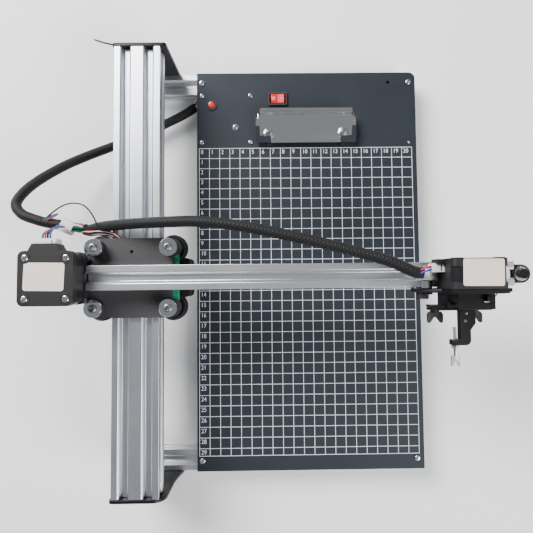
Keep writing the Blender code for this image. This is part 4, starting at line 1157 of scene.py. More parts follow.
@dataclass
class VWheel:
    """A V wheel with its tyre, its ball bearings and its spacer. Its axle runs along Z."""

    radius: float
    width: float
    tread: float
    axle: float = 2.5 * MM

    def add(self, shape: Shape, place: Matrix, tyre: Finish) -> None:
        """Adds the wheel's tyre, bearing and spacer."""
        r, w, t = self.radius, self.width / 2, self.tread / 2
        core = r * 0.62
        slope = (w - t) * 0.95
        half = [
            (core, w), (r - slope, w), (r - slope * 0.94, w - 0.15 * MM), (r - 0.2 * MM, t),
            (r, t - 0.2 * MM),
        ]
        profile = [(reach, -height) for reach, height in half] + half[::-1]
        shape.turned(profile, tyre, place, 48, True)
        inner = core - 0.1 * MM
        shield = core * 0.82
        race = core * 0.58
        for way in (1, -1):
            z = way * (w - 0.5 * MM)
            low, high = sorted((z, z - way * (w - 0.6 * MM)))
            sunk = high - 0.25 * MM
            ring = [
                (race, low), (inner, low), (inner, high), (shield, high), (shield, sunk),
                (race, sunk),
            ]
            shape.turned(ring, STEEL, place, 36, True)
        spacer = band(self.axle, race - 0.1 * MM, -w * 0.9, w * 0.9)
        shape.turned(spacer, STEEL, place, 30, True)


def at(x: float, y: float, z: float, axis: Axis = Axis.Z, reverse: bool = False) -> Matrix:
    """A place in millimetres from the rail's middle, with Z turned to an axis."""
    return Matrix.Translation(rail_point(x, y, z)) @ axis_turn(axis, reverse)


def box_middle(node: str) -> Vector:
    """The middle of a node's box."""
    low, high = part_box(node)
    return (low + high) / 2


# The board


@dataclass
class GridMarks:
    """The drawing grid: lines a centimetre apart over an A4 sheet, each with its number."""

    pitch: float = 10 * MM
    columns: int = 21
    rows: int = 29
    left: float = 45.2 * MM
    rear: float = 117.8 * MM
    sheet_length: float = 297 * MM
    line: float = 0.5 * MM
    text_size: float = 5.9 * MM
    narrowing: float = 0.88
    film: float = 0.06 * MM
    film_gap: float = 0.005 * MM
    number_offset: Point = (1.5, -0.75, 0)

    def build(self, trees: Trees, top: float) -> None:
        """Lays the lines and the numbers on the board's top."""
        corner = Vector((self.left, self.rear, 0)) + FROM_RAIL
        width = self.columns * self.pitch
        z = top + self.film / 2 + self.film_gap
        across = {
            "Count": self.rows + 1,
            "Start": (corner.x + width / 2, corner.y, z),
            "Step": (0, -self.pitch, 0),
            "Size": (width + self.line, self.line, self.film),
        }
        one_line = {"Count": 1, "Start": (corner.x + width / 2, corner.y - self.sheet_length, z)}
        last = {**across, **one_line, "Step": (0, 0, 0)}
        down = {
            "Count": self.columns + 1,
            "Start": (corner.x, corner.y - self.sheet_length / 2, z),
            "Step": (self.pitch, 0, 0),
            "Size": (self.line, self.sheet_length + self.line, self.film * 0.98),
        }
        lines = {"grid_rows": across, "grid_columns": down, "grid_last_row": last}
        for name, values in lines.items():
            settle(trees.row.grow(name, GRID_INK, values), "board_black", "base")
        first = corner + Vector(self.number_offset) * MM
        for n in range(self.columns):
            self.number(n, f"column_number_{n}", first + Vector((n * self.pitch, 0, z)))
        for n in range(1, self.rows + 1):
            self.number(n, f"row_number_{n}", first + Vector((0, -n * self.pitch, z)))

    def number(self, value: int, name: str, place: Vector) -> None:
        """Adds a number whose top left corner is at a place."""
        text = bpy.data.curves.new(name, "FONT")
        text.body = str(value)
        text.size = self.text_size
        text.align_y = "TOP"
        text.extrude = self.film / 2
        text.resolution_u = 4
        holder = linked(name, text)
        mesh = plain_mesh(holder)
        mesh.transform(Matrix.Translation(place) @ Matrix.Diagonal((self.narrowing, 1.0, 1.0, 1.0)))
        mesh.materials.clear()
        mesh.materials.append(GRID_INK.material())
        bpy.data.objects.remove(holder)
        made = linked(name, mesh)
        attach(made, "base")


@dataclass
class PaperClip:
    """The sprung paper clip: a base, a curved nickel jaw, soft corner covers and a coil spring."""

    rivet_spread: float = 36.25 * MM
    rivet_y: float = 127.5 * MM
    coil_turns: int = 9
    coil_sides: int = 16
    wire: float = 0.5 * MM
    sheet: float = 0.9 * MM
    jaw_steps: int = 24
    jaw_bow: float = 0.35 * MM
    base_ceiling: float = 31.4 * MM
    slope: float = 0.31

    # Each row across the jaw: its y, its height and its half width, in millimetres.
    ROWS = (
        (149.7, 40.3, 43.6), (148.9, 40.4, 44.6), (147.4, 40.0, 44.8), (146.5, 38.6, 44.8),
        (145.9, 36.8, 44.8), (144.9, 35.4, 44.8), (143.4, 34.8, 45.4), (142.4, 34.6, 48.6),
        (139.0, 34.0, 48.8), (131.0, 32.6, 48.8), (124.6, 30.2, 48.8), (121.6, 28.8, 48.6),
        (120.2, 28.3, 48.0), (119.2, 28.6, 46.6), (118.7, 29.6, 45.4),
    )
    # The dish round each screw, and the left half of a corner cover, in millimetres.
    DISH = ((3.4, -0.6), (5.6, -0.6), (5.6, 0.1), (5.2, 0.45), (4.7, 0.4), (4.1, 0.0), (3.4, -0.1))
    COVER = ((48.95, -2.4), (48.95, 13.6), (45.2, 13.6), (44.8, 4.2), (34.0, 3.2), (34.0, -2.4))

    def build(self) -> None:
        """Makes the clip's pieces."""
        softened("clip_base", NICKEL, "nickel_plate", 0.25 * MM, ceiling=self.base_ceiling)
        self.jaw()
        self.corners()
        self.spring()
        for node in ("clip_pad_left", "clip_pad_right"):
            softened(node, RUBBER, "black_rubber", 0.4 * MM)

    def jaw(self) -> None:
        """The jaw, its side cheeks and its rivets."""
        middle = box_middle("clip_jaw")
        part = new_shell()
        steps = self.jaw_steps
        layers = []
        for drop in (0.0, self.sheet):
            rows = []
            for n, (y, z, half) in enumerate(self.ROWS):
                before, after = self.ROWS[max(n - 1, 0)], self.ROWS[min(n + 1, len(self.ROWS) - 1)]
                along = Vector((0, after[0] - before[0], after[1] - before[1])).normalized()
                under = Vector((0, along.z, -along.y)) * (-drop if along.y > 0 else drop)
                under.z = -abs(under.z)
                row = []
                for k in range(steps + 1):
                    x = middle.x + half * MM * (2 * k / steps - 1)
                    bow = self.jaw_bow * (1 - (2 * k / steps - 1) ** 2)
                    row.append(part.verts.new((x, y * MM + under.y, z * MM + under.z + bow)))
                rows.append(row)
            layers.append(rows)
        top, bottom = layers
        last = len(self.ROWS) - 1
        for n in range(last):
            for k in range(steps):
                for rows in layers:
                    part.faces.new((rows[n][k], rows[n][k + 1], rows[n + 1][k + 1], rows[n + 1][k]))
            for k in (0, steps):
                part.faces.new((top[n][k], top[n + 1][k], bottom[n + 1][k], bottom[n][k]))
        for n in (0, last):
            for k in range(steps):
                part.faces.new((top[n][k], top[n][k + 1], bottom[n][k + 1], bottom[n][k]))
        shape = Shape()
        shape.take(part, NICKEL)
        for way in (-1, 1):
            x = middle.x / MM + way * 46.4
            cheek = scaled((x - 0.5, 138.5, 27.4), (x + 0.5, 146, 35))
            shape.block(*cheek, NICKEL, 0.4 * MM)
        settle(shape.object("clip_jaw_sheet"), "nickel_plate", "clip_jaw", "clip_jaw")
        self.rivets(middle.x)

    def on_slope(self, x: float, y: float) -> Matrix:
        """A place on the jaw's sloping face."""
        height = 32.9 * MM + (y - 131 * MM) * self.slope
        return Matrix.Translation((x, y, height)) @ Matrix.Rotation(math.atan(self.slope), 4, "X")

    def rivets(self, middle: float) -> None:
        """The two screws in their shallow dishes."""
        shape = Shape()
        for way in (-1, 1):
            place = self.on_slope(middle + way * self.rivet_spread, self.rivet_y)
            shape.turned(scaled(*self.DISH), NICKEL, place, 48, True)
            turned = place @ Matrix.Rotation(0.5 * way, 4, "Z")
            CapScrew(3.0 * MM, 0.9 * MM, 1.1 * MM).add(shape, turned, DARK_STEEL)
        settle(shape.object("clip_screws"), "nickel_plate", "clip_jaw")

    def corners(self) -> None:
        """The soft L-shaped covers on the jaw's front corners, and the nubs before them."""
        middle = box_middle("clip_jaw").x
        shape = Shape()
        for way in (-1, 1):
            place = self.on_slope(middle, 121.4 * MM)
            points = [(way * x, y) for x, y in scaled(*self.COVER)]
            shape.plate(points, -1.9 * MM, 0.75 * MM, SOFT_BLACK, place, 0.5 * MM)
            x = (middle + way * self.rivet_spread) / MM
            low, high = scaled((x - 1.7, 117.0, 24.2), (x + 1.7, 120.5, 28.0))
            shape.block(low, high, RUBBER, 0.5 * MM)
        settle(shape.object("clip_corner_covers"), "black_rubber", "clip_jaw")

    def spring(self) -> None:
        """The coil spring round the clip's pin."""
        low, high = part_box("clip_spring")
        middle = (low + high) / 2
        reach = (high.z - low.z) / 2 - self.wire / 2
        half = (high.x - low.x) / 2 - self.wire
        count = self.coil_turns * self.coil_sides
        path = []
        for n in range(count + 1):
            a = 2 * math.pi * n / self.coil_sides
            x = middle.x - half + 2 * half * n / count
            path.append(Vector((x, middle.y + reach * math.cos(a), middle.z + reach * math.sin(a))))
        shape = Shape()
        shape.tube(path, self.wire / 2, STEEL, 8)
        body = body_of_node("clip_spring")
        settle(shape.object("clip_coil"), "spring_steel", body, "clip_spring")


@dataclass
class WritingBoard:
    """The writing board on its two cross beams, with its screws, switches and electronics."""

    screw_head: float = 2.7 * MM
    mark_offset: float = 4.1 * MM

    # The screws that hold the electronics, in millimetres from the rail's middle.
    POSTS = ((48, 170.8), (48, 123.8), (96, 170.8), (96, 123.8))
    LARGE_SCREW = (81, 139)

    def build(self, trees: Trees) -> None:
        """Makes the board's pieces."""
        softened("writing_board", BOARD_PAINT, "board_black", 0.35 * MM)
        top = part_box("writing_board")[1].z
        GridMarks().build(trees, top)
        for node in ("rear_cross_beam", "front_cross_beam"):
            softened(node, ARM_ALUMINIUM, "aluminium", 0.25 * MM)
        self.screws(top)
        self.switch()
        self.pause()
        self.electronics(trees)
        PaperClip().build()

    def screws(self, top: float) -> None:
        """The board's four corner screws, and those that hold its electronics."""
        seat = top + FACE_GAP
        for n in range(1, 5):
            node = f"board_screw_{n}"
            shape = Shape()
            middle = box_middle(node)
            place = Matrix.Translation((middle.x, middle.y, seat))
            turned = place @ Matrix.Rotation(0.4 * n, 4, "Z")
            CapScrew(self.screw_head, 1.5 * MM, 1.1 * MM).add(shape, turned, ZINC)
            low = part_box(node)[0]
            stem = Matrix.Translation((middle.x, middle.y, low.z))
            reach = (top - low.z) / MM - 0.1
            shape.turned(scaled((1.3, 0), (1.5, 0.3), (1.5, reach)), ZINC, stem, 24)
            settle(shape.object(f"{node}_detail"), "zinc_plate", "base", node)
        posts = Shape()
        for x, y in self.POSTS:
            place = Matrix.Translation(rail_point(x, y, seat / MM))
            turned = place @ Matrix.Rotation(0.2 * x, 4, "Z")
            CapScrew(2.2 * MM, 1.2 * MM, 1.0 * MM).add(posts, turned, ZINC)
        large = Matrix.Translation(rail_point(*self.LARGE_SCREW, seat / MM))
        CapScrew(2.3 * MM, 1.4 * MM, 1.0 * MM, 3.5 * MM, 0.6 * MM).add(posts, large, ZINC)
        settle(posts.object("electronics_screws"), "zinc_plate", "base")

    def switch(self) -> None:
        """The power rocker in its bezel, with its two marks."""
        softened("switch_bezel", BLACK_PLASTIC, "black_plastic", 0.5 * MM)
        softened("power_rocker", SWITCH_RED, "switch_red", 0.5 * MM)
        low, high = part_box("power_rocker")
        middle = (low + high) / 2
        marks = Shape()
        z = high.z - 0.5 * MM
        place = Matrix.Translation((middle.x - self.mark_offset, middle.y, z))
        circle = band(1.1 * MM, 1.5 * MM, 0, 0.45 * MM)
        marks.turned(circle, MARK_WHITE, place, 24, True)
        corner = Vector((middle.x + self.mark_offset, middle.y, z))
        dash = scaled((-1.3, -0.22, 0), (1.3, 0.22, 0.45))
        marks.block(*(corner + Vector(reach) for reach in dash), MARK_WHITE, 0.05 * MM)
        settle(marks.object("rocker_marks"), "switch_red", "power_rocker")

    def pause(self) -> None:
        """The round pause button in its nut."""
        low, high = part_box("pause_button")
        middle = (low + high) / 2
        r, h = (high.x - low.x) / 2, high.z - low.z
        shape = Shape()
        dome = [
            (r * 0.96, 0), (r, 0.2 * MM), (r, h - 0.9 * MM), (r * 0.9, h - 0.35 * MM),
            (r * 0.6, h - 0.06 * MM), (0, h),
        ]
        shape.turned(dome, SWITCH_RED, Matrix.Translation((middle.x, middle.y, low.z)), 36)
        settle(shape.object("pause_button_cap"), "switch_red", "pause_button", "pause_button")
        softened("pause_collar", BLACK_PLASTIC, "black_plastic", 0.2 * MM)

    def electronics(self, trees: Trees) -> None:
        """The controller board under the writing board, with a row of header pins."""
        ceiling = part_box("writing_board")[1].z - 0.5 * MM
        softened("controller_board", GREEN_BOARD, "circuit_green", 0.15 * MM, ceiling)
        low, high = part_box("controller_board")
        middle = (low + high) / 2
        row = {
            "Count": 8,
            "Start": (middle.x - 10 * MM, middle.y + 16 * MM, low.z + 1.0 * MM),
            "Step": (2.54 * MM, 0, 0),
            "Size": (1.4 * MM, 1.4 * MM, 1.6 * MM),
        }
        settle(trees.row.grow("controller_pins", ZINC, row, 0.1 * MM), "circuit_green", "base")


# Rail, arm and motors


@dataclass
class Rail:
    """The V-slot rail between its end plates, with the toothed belt in its side slot."""

    tooth_pitch: float = 2.0 * MM
    tooth: float = 0.5 * MM

    def build(self, trees: Trees) -> None:
        """Makes the rail's pieces."""
        softened("y_rail", RAIL_ALUMINIUM, "aluminium", 0.22 * MM)
        for node in ("rear_end_plate", "front_end_plate"):
            softened(node, BLACK_COAT, "black_sheet", 0.4 * MM)
        self.belt(trees)
        self.plate_screws()
        softened("tie_strap", BLACK_PLASTIC, "black_plastic", 0.25 * MM)

    def belt(self, trees: Trees) -> None:
        """The belt and its teeth."""
        softened("y_belt", RUBBER, "black_rubber", 0.12 * MM)
        low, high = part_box("y_belt")
        count = int((high.y - low.y - 20 * MM) / self.tooth_pitch)
        values = {
            "Count": count,
            "Start": (high.x + 0.1 * MM, low.y + 10 * MM, (low.z + high.z) / 2),
            "Step": (0, self.tooth_pitch, 0),
            "Size": (self.tooth, self.tooth_pitch * 0.5, high.z - low.z - 0.1 * MM),
        }
        teeth = trees.row.grow("y_belt_teeth", RUBBER, values, 0.08 * MM)
        settle(teeth, "black_rubber", body_of_node("y_belt"))

    def plate_screws(self) -> None:
        """Two screws on the outside of each end plate, into the rail's cores."""
        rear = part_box("rear_end_plate")[1].y
        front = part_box("front_end_plate")[0].y
        shape = Shape()
        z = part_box("y_rail")[0].z + 10 * MM
        for x in (-10, 10):
            for y, way in ((rear - 1.9 * MM, False), (front + 1.9 * MM, True)):
                place = Matrix.Translation((FROM_RAIL.x + x * MM, y, z)) @ axis_turn(Axis.Y, way)
                CapScrew(3.6 * MM, 1.85 * MM, 1.4 * MM).add(shape, place, STEEL)
        settle(shape.object("end_plate_screws"), "black_sheet", "base")


@dataclass
class Motor:
    """A square stepper motor: two cast covers over a stack of sheets, with four screws.

    Its shaft runs along Z, its mounting face is at zero and its body lies below it.
    """

    side: float
    length: float
    holes: float
    shaft: float = 2.5 * MM
    shaft_reach: float = 18 * MM
    boss: float = 11 * MM
    boss_height: float = 1.6 * MM
    corner: float = 4.6 * MM
    cover: float = 8 * MM
    trim: float = 0.3 * MM

    # The cast rim round each screw, in millimetres.
    LIP = ((3.2, -0.4), (4.3, -0.4), (4.3, 0.55), (4.0, 0.8), (3.2, 0.8))

    def add(self, shape: Shape, place: Matrix, proud: float = 0.8 * MM) -> None:
        """Adds the motor's shells, with its screws standing proud of its back."""
        s, low = self.side - self.trim, -self.length
        shape.plate(rounded(s, s, self.corner), low, low + self.cover, MOTOR_BLACK, place, 0.7 * MM)
        waist = rounded(s - 0.7 * MM, s - 0.7 * MM, self.corner + 1.6 * MM)
        front, lap = -self.cover * 0.8, 0.2 * MM
        shape.plate(waist, low + self.cover - lap, front, STACK_BLACK, place, 0.1 * MM)
        shape.plate(rounded(s, s, self.corner), front - lap, 0, MOTOR_BLACK, place, 0.7 * MM)
        ring = [
            (self.shaft + 1.2 * MM, 0), (self.boss, 0), (self.boss, self.boss_height - 0.3 * MM),
            (self.boss - 0.3 * MM, self.boss_height), (self.shaft + 1.2 * MM, self.boss_height),
        ]
        if self.boss:
            shape.turned(ring, MOTOR_BLACK, place, 48, True)
        tip = self.shaft_reach
        reach = self.shaft * 0.99
        rod = [(reach, -2 * MM), (reach, tip - 0.4 * MM), (self.shaft * 0.8, tip)]
        shape.turned(rod, STEEL, place, 24)
        half = self.holes / 2
        flip = Matrix.Rotation(math.pi, 4, "X")
        for n, (x, y) in enumerate(((half, half), (-half, half), (-half, -half), (half, -half))):
            back = place @ Matrix.Translation((x, y, low + 0.35 * MM)) @ flip
            shape.turned(scaled(*self.LIP), MOTOR_BLACK, back, 32, True)
            screw = back @ Matrix.Rotation(0.7 * n, 4, "Z")
            CapScrew(2.75 * MM, 0.5 * MM + proud, 1.25 * MM).add(shape, screw, ZINC)


def label_outline(
    left: float, right: float, front: float, rear: float, skew: float, corner: float
) -> Outline:
    """The outline of a bare label with round corners, a little skewed."""
    outline = rounded(right - left, rear - front, corner)
    middle = ((left + right) / 2, (front + rear) / 2)
    return [(x + middle[0] + skew * y, y + middle[1] - 0.5 * skew * x) for x, y in outline]


@dataclass
class ArmDrive:
    """The X motor on its standoffs, the arm, the belt along it, and the idler at its end."""

    side: float = 42.3 * MM
    length: float = 30 * MM
    holes: float = 31 * MM
    standoff: float = 3.2 * MM
    standoff_height: float = 14.3 * MM
    plate_top: float = 92.4 * MM
    top: float = 136.8 * MM
    tooth_pitch: float = 2.0 * MM

    # Places in millimetres: the motor's middle and the ends of the belt's teeth from the rail's
    # middle, and the motor's hump from its own middle.
    MOTOR_MIDDLE = (-54.75, -9)
    BELT_RUN = (-48, 314)
    HUMP = ((-14.6, 20.6), (-11.4, 26.6), (6.6, 26.6), (9.8, 20.6))

    def build(self, trees: Trees) -> None:
        """Makes the drive's pieces."""
        softened("x_arm", ARM_ALUMINIUM, "aluminium", 0.2 * MM)
        softened("x_belt", RUBBER, "black_rubber", 0.12 * MM)
        self.motor()
        self.belt_teeth(trees)
        for node in ("x_pulley", "x_idler_pulley"):
            softened(node, TURNED_ALUMINIUM, "zinc_plate", 0.08 * MM)
        softened("x_idler_bracket", BLACK_COAT, "black_sheet", 0.35 * MM)
        self.idler_bolt()

    def motor(self) -> None:
        """The motor with its label, its standoffs and its socket."""
        x, y = self.MOTOR_MIDDLE
        top = self.top
        shape = Shape()
        face = Matrix.Translation(rail_point(x, y, (top - self.length) / MM))
        upside = face @ Matrix.Rotation(math.pi, 4, "X")
        Motor(self.side, self.length, self.holes, shaft_reach=13.6 * MM).add(shape, upside)
        middle = Matrix.Translation(rail_point(x, y, 0))
        for sx in (-1, 1):
            for sy in (-1, 1):
                corner = (sx * self.holes / 2, sy * self.holes / 2, self.plate_top)
                post = middle @ Matrix.Translation(corner)
                r, tall, cut = self.standoff, self.standoff_height, 0.3 * MM
                rod = [(r - cut, 0), (r, cut), (r, tall - cut), (r - cut, tall)]
                shape.turned(rod, ZINC, post, 36)
        shape.plate(scaled(*self.HUMP), 119 * MM, 135 * MM, MOTOR_BLACK, middle, 0.8 * MM)
        plug = scaled((-10.6, 26.2, 120.8), (6.0, 30.6, 133.2))
        shape.block(*plug, PLUG_WHITE, 0.5 * MM, middle)
        # The plug's slot: a thin near-black slab of painted shade on its top.
        slot = scaled((3.0, 25.9, 133.1), (3.7, 29.4, 133.35))
        shape.block(*slot, SLOT_SHADE_PAINT, 0.05 * MM, middle)
        settle(shape.object("x_motor_detail"), "motor_black", "y_carriage", "x_motor")
        label = Shape()
        outline = label_outline(-16.4 * MM, 14.3 * MM, -9.4 * MM, 11.9 * MM, 0.035, 2.0 * MM)
        label.plate(outline, top - 0.01 * MM, top + 0.09 * MM, BEIGE_PAPER, middle, 0.0)
        settle(label.object("x_motor_label"), "tag_beige", "y_carriage")

    def belt_teeth(self, trees: Trees) -> None:
        """The teeth on the inside of both straight runs of the belt."""
        start, end = (x * MM for x in self.BELT_RUN)
        for name, way in (("x_belt_teeth_front", -1), ("x_belt_teeth_rear", 1)):
            values = {
                "Count": int((end - start) / self.tooth_pitch),
                "Start": Vector((start, -9 * MM + way * 6.1 * MM, 102.4 * MM)) + FROM_RAIL,
                "Step": (self.tooth_pitch, 0, 0),
                "Size": (self.tooth_pitch * 0.5, 0.5 * MM, 5.8 * MM),
            }
            settle(trees.row.grow(name, RUBBER, values, 0.08 * MM), "black_rubber", "y_carriage")

    def idler_bolt(self) -> None:
        """The idler's bolt head over its washer."""
        shape = Shape()
        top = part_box("x_idler_bracket")[1].z
        place = Matrix.Translation(rail_point(321, -9, top / MM - 2.9))
        CapScrew(4.25 * MM, 2.85 * MM, 1.7 * MM).add(shape, place, ZINC)
        settle(shape.object("idler_bolt_head"), "zinc_plate", "y_carriage")


@dataclass
class Carriage:
    """The carriage: a textured plate on four V wheels, with the Y motor and a circuit board."""

    bush: float = 7.0 * MM
    bush_height: float = 9.5 * MM
    washer: float = 7.5 * MM
    wheel: float = 11.95 * MM
    wheel_width: float = 10.2 * MM
    tread: float = 5.9 * MM

    # Places and heights in millimetres from the rail's middle.
    wheel_height: float = 76
    plate_top: float = 92.2
    CORNERS = ((-30.75, 16), (30.75, 16), (-30.75, -34), (30.75, -34))
    NUTS = ((67.3, 70.4), (81.6, 88.7))

    def build(self, trees: Trees) -> None:
        """Makes the carriage's pieces."""
        softened("carriage_plate", PLATE_COAT, "textured_plate", 0.5 * MM)
        for n, (x, y) in enumerate(self.CORNERS, 1):
            self.corner(n, x, y)
            shape = Shape()
            wheel = VWheel(self.wheel, self.wheel_width, self.tread)
            wheel.add(shape, at(x, y, self.wheel_height), WHEEL_BLACK)
            name = f"y_wheel_{n}"
            settle(shape.object(f"{name}_detail"), "black_plastic", name, name)
        softened("junction_board", GREEN_BOARD, "circuit_green", 0.12 * MM)
        self.junction(trees)
        self.motor()
        softened("y_pinion", TURNED_ALUMINIUM, "zinc_plate", 0.08 * MM)
        softened("y_motor_bracket", BLACK_COAT, "black_sheet", 0.25 * MM)

    def corner(self, number: int, x: float, y: float) -> None:
        """A wheel's bolt, its bush and washer above the plate, and its nuts below."""
        shape = Shape()
        r, h = self.bush, self.bush_height
        hole, cut, neck = 2.6 * MM, 0.3 * MM, r - 0.35 * MM
        bush = [
            (hole, 0), (r - cut, 0), (r, cut), (r, h * 0.42), (neck, h * 0.46), (neck, h * 0.54),
            (r, h * 0.58), (r, h - cut), (r - cut, h), (hole, h),
        ]
        shape.turned(bush, BLACK_PLASTIC, at(x, y, self.plate_top), 48, True)
        turn = Matrix.Rotation(0.9 * number, 4, "Z")
        screw = CapScrew(3.5 * MM, 2.4 * MM, 1.7 * MM, self.washer, 1.5 * MM)
        screw.add(shape, at(x, y, self.plate_top + 9.6) @ turn, DARK_STEEL, ZINC)
        for low, high in self.NUTS:
            tall = high - low
            nut = scaled(
                (2.6, 0), (4.0, 0), (4.35, 0.35, "hex"),
                (4.35, tall - 0.35, "hex"), (4.0, tall), (2.6, tall),
            )
            shape.turned(nut, ZINC, at(x, y, low), 36, True)
        shape.turned(scaled((2.1, 0), (2.45, 0.4), (2.45, 30)), ZINC, at(x, y, 67), 24)
        name = f"corner_bolt_{number}"
        settle(shape.object(f"{name}_detail"), "zinc_plate", "y_carriage", name)

    def junction(self, trees: Trees) -> None:
        """The small circuit board's header under the plate."""
        low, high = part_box("junction_board")
        middle = (low + high) / 2
        row = {
            "Count": 6,
            "Start": (high.x - 2.2 * MM, middle.y - 16 * MM, low.z - 0.9 * MM),
            "Step": (0, 2.0 * MM, 0),
            "Size": (1.4 * MM, 1.3 * MM, 2.0 * MM),
        }
        settle(trees.row.grow("junction_pads", ZINC, row, 0.15 * MM), "circuit_green", "y_carriage")

    def motor(self) -> None:
        """The Y motor that hangs beside the rail."""
        shape = Shape()
        motor = Motor(
            side=35.2 * MM,
            length=27.5 * MM,
            holes=26 * MM,
            shaft_reach=15.2 * MM,
            boss=0,
            corner=3.6 * MM,
            cover=7 * MM,
        )
        motor.add(shape, at(25, -9, 65.5), 0.1 * MM)
        settle(shape.object("y_motor_detail"), "motor_black", "y_carriage", "y_motor")


# Pen carriage


@dataclass
class PenCarriage:
    """The pen carriage: a plate on three small V wheels, with the lift's motor and frame."""

    wheel: float = 7.6 * MM
    wheel_width: float = 8.8 * MM
    tread: float = 5.9 * MM
    side: float = 42.3 * MM
    depth: float = 22.7 * MM
    top: float = 156.2 * MM

    # Each wheel's x and height from the rail's middle, and a nut's profile, in millimetres.
    WHEELS = ((239, 118.8), (297, 118.8), (268, 86.0))
    NUT = (
        (2.55, 0), (4.0, 0), (4.3, 0.3, "hex"), (4.3, 2.6, "hex"), (4.0, 2.9), (2.55, 2.9),
    )
    # The hump, the plug and the plug's slot, whose near-black slab is painted shade: two opposite
    # corners, finish and edge width.
    SOCKET = (
        ((240.6, -1.2, 126), (247.4, 2.6, 140), MOTOR_BLACK, 0.8 * MM),
        ((237.2, -7.4, 128.6), (247.6, -0.6, 137.4), PLUG_WHITE, 0.6 * MM),
        ((244.6, -6.6, 137.2), (245.4, -1.4, 137.55), SLOT_SHADE_PAINT, 0.08 * MM),
    )

    def build(self, trees: Trees) -> None:
        """Makes the pen carriage's pieces."""
        softened("pen_carriage_plate", BLACK_COAT, "black_sheet", 0.3 * MM)
        for n, (x, z) in enumerate(self.WHEELS, 1):
            shape = Shape()
            place = at(x, -9, z, Axis.Y)
            VWheel(self.wheel, self.wheel_width, self.tread).add(shape, place, WHEEL_WHITE)
            name = f"pen_wheel_{n}"
            settle(shape.object(f"{name}_detail"), "wheel_white", name, name)
        self.axles()
        self.motor()
        softened("limit_switch", BLACK_PLASTIC, "black_plastic", 0.25 * MM)
        softened("lift_frame", BLACK_COAT, "black_sheet", 0.2 * MM)
        softened("z_pinion", TURNED_ALUMINIUM, "zinc_plate", 0.08 * MM)

    def axles(self) -> None:
        """The silver spacers and the nuts of the wheels' bolts."""
        shape = Shape()
        for x, z in self.WHEELS:
            spacer = band(2.6 * MM, 4.3 * MM, 0, 5.6 * MM)
            shape.turned(spacer, ZINC, at(x, -19.6, z, Axis.Y), 36, True)
            shape.turned(scaled(*self.NUT), ZINC, at(x, -4.3, z, Axis.Y), 36, True)
        settle(shape.object("pen_wheel_spacers"), "zinc_plate", "pen_carriage")

    def motor(self) -> None:
        """The pen lift's motor with its label, plug and hump."""
        shape = Shape()
        front = at(268, -20, 135.05, Axis.Y, True)
        motor = Motor(self.side, self.depth, 31 * MM, shaft_reach=9 * MM, boss=0, cover=6 * MM)
        motor.add(shape, front, 0.0)
        for low, high, finish, edge in self.SOCKET:
            shape.block(rail_point(*low), rail_point(*high), finish, edge)
        settle(shape.object("z_motor_detail"), "motor_black", "pen_carriage", "z_motor")
        label = Shape()
        outline = label_outline(-13.1 * MM, 17.0 * MM, -17.8 * MM, 2.0 * MM, 0.02, 1.6 * MM)
        place = Matrix.Translation(rail_point(268, 0, 0))
        low, high = self.top - 0.16 * MM, self.top - 0.06 * MM
        label.plate(outline, low, high, BEIGE_PAPER, place, 0.0)
        settle(label.object("z_motor_label"), "tag_beige", "pen_carriage")


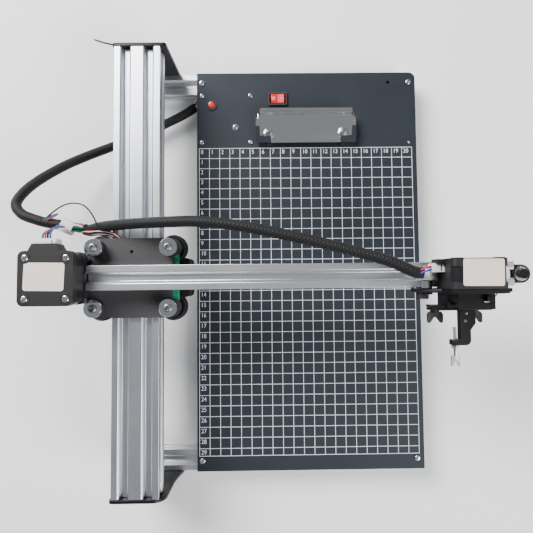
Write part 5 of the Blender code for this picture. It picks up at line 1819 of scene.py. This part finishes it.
@dataclass
class PenLift:
    """The sliding block, its rack, and the pen holder with its screws."""

    knurls: int = 28

    # The thumb screw's profiles, in millimetres along its axis.
    STEM = ((1.2, -2.3), (1.45, -2.0), (1.45, 3))
    COLLAR = ((1.5, 0.35), (3.4, 0.35), (3.55, 0.6), (3.55, 2.2), (3.4, 2.4), (1.5, 2.4))
    HEAD = ((2.6, 2.9), (2.95, 3.2), (2.95, 7.0), (2.5, 7.4), (0, 7.4))
    # The holder's two small screws, from the rail's middle.
    SMALL_SCREWS = ((268.6, -39.6), (267.8, -45.6))

    def build(self, trees: Trees) -> None:
        """Makes the lift's pieces."""
        softened("lift_block", BLACK_COAT, "black_sheet", 0.3 * MM)
        softened("pen_bracket", BLACK_COAT, "black_sheet", 0.5 * MM)
        for node in ("wing_bolt_left", "wing_bolt_right"):
            softened(node, BLACK_PLASTIC, "black_plastic", 0.5 * MM)
        softened("pen_clamp_screw", STEEL, "spring_steel", 0.25 * MM)
        self.thumb_screw(trees)
        self.rack(trees)
        self.bracket_screws()

    def thumb_screw(self, trees: Trees) -> None:
        """The thumb screw, with a knurled black head on a bright collar."""
        shape = Shape()
        place = at(282, -28, 112, Axis.X)
        shape.turned(scaled(*self.STEM), ZINC, place, 24)
        shape.turned(scaled(*self.COLLAR), ZINC, place, 36, True)
        shape.turned(scaled(*self.HEAD), BLACK_PLASTIC, place, 36)
        settle(shape.object("thumb_screw_detail"), "black_plastic", "thumb_screw", "thumb_screw")
        ribs = {
            "Count": self.knurls,
            "Radius": 2.98 * MM,
            "Size": (0.36 * MM, 0.32 * MM, 3.6 * MM),
            "Place": rail_point(287.1, -28, 112),
            "Turn": (0, math.pi / 2, 0),
        }
        knurl = trees.ring.grow("thumb_screw_knurl", BLACK_PLASTIC, ribs, 0.05 * MM)
        settle(knurl, "black_plastic", "thumb_screw")

    def rack(self, trees: Trees) -> None:
        """The rack's teeth, toward the pinion."""
        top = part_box("lift_block")[1].z
        values = {
            "Count": 13,
            "Start": rail_point(275, -27.6, top / MM - 27),
            "Step": (0, 0, 2.0 * MM),
            "Size": (0.7 * MM, 3.6 * MM, 0.9 * MM),
        }
        teeth = trees.row.grow("lift_rack_teeth", BLACK_PLASTIC, values, 0.12 * MM)
        settle(teeth, "black_sheet", "pen_lift")

    def bracket_screws(self) -> None:
        """Two small screws on the holder's arm."""
        shape = Shape()
        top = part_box("pen_bracket")[1].z
        for x, y in self.SMALL_SCREWS:
            place = Matrix.Translation(rail_point(x, y, top / MM - 0.35))
            CapScrew(1.1 * MM, 0.5 * MM, 0.5 * MM).add(shape, place, DARK_STEEL)
        settle(shape.object("bracket_screws"), "black_sheet", "pen_lift")


# Studio


@dataclass
class Studio:
    """A pale floor and soft lights."""

    half: float = 3.0
    strength: float = 0.30
    target: Point = (0, 0, 0.05)
    # Each lamp's name, place, width in metres and power in watts.
    LAMPS = (
        ("key_light", (-0.85, 0.95, 1.15), 1.0, 62.0),
        ("fill_light", (1.1, -0.85, 1.15), 1.3, 38.0),
    )

    def build(self) -> None:
        """Makes the floor, the lights and the room's light."""
        shape = Shape()
        shape.block((-self.half, -self.half, -0.02), (self.half, self.half, 0.0), PALE_FLOOR, 0.0)
        floor = shape.object("studio_floor")
        for lamp in self.LAMPS:
            self.light(*lamp)
        world = bpy.data.worlds.new("soft_room")
        world.use_nodes = True
        back = world.node_tree.nodes["Background"]
        back.inputs["Color"].default_value = (0.92, 0.94, 1.0, 1)
        back.inputs["Strength"].default_value = self.strength
        bpy.context.scene.world = world

    def light(self, name: str, place: Point, size: float, power: float) -> None:
        """Adds a soft lamp that faces the machine."""
        lamp = bpy.data.lights.new(name, "AREA")
        lamp.shape = "DISK"
        lamp.size = size
        lamp.energy = power
        made = linked(name, lamp)
        made.location = place
        way = Vector(self.target) - Vector(place)
        made.rotation_euler = way.to_track_quat("-Z", "Y").to_euler()


def main() -> None:
    """Builds the machine's looks, sub-assembly by sub-assembly."""
    logging.basicConfig(level=logging.INFO, format="%(message)s")
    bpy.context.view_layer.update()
    ViewCamera().build()
    Harness().build()
    trees = Trees()
    for assembly in (WritingBoard(), Rail(), Carriage(), ArmDrive(), PenCarriage(), PenLift()):
        LOG.info("building %s", type(assembly).__name__)
        assembly.build(trees)
    Studio().build()


if __name__ == "__main__":
    main()
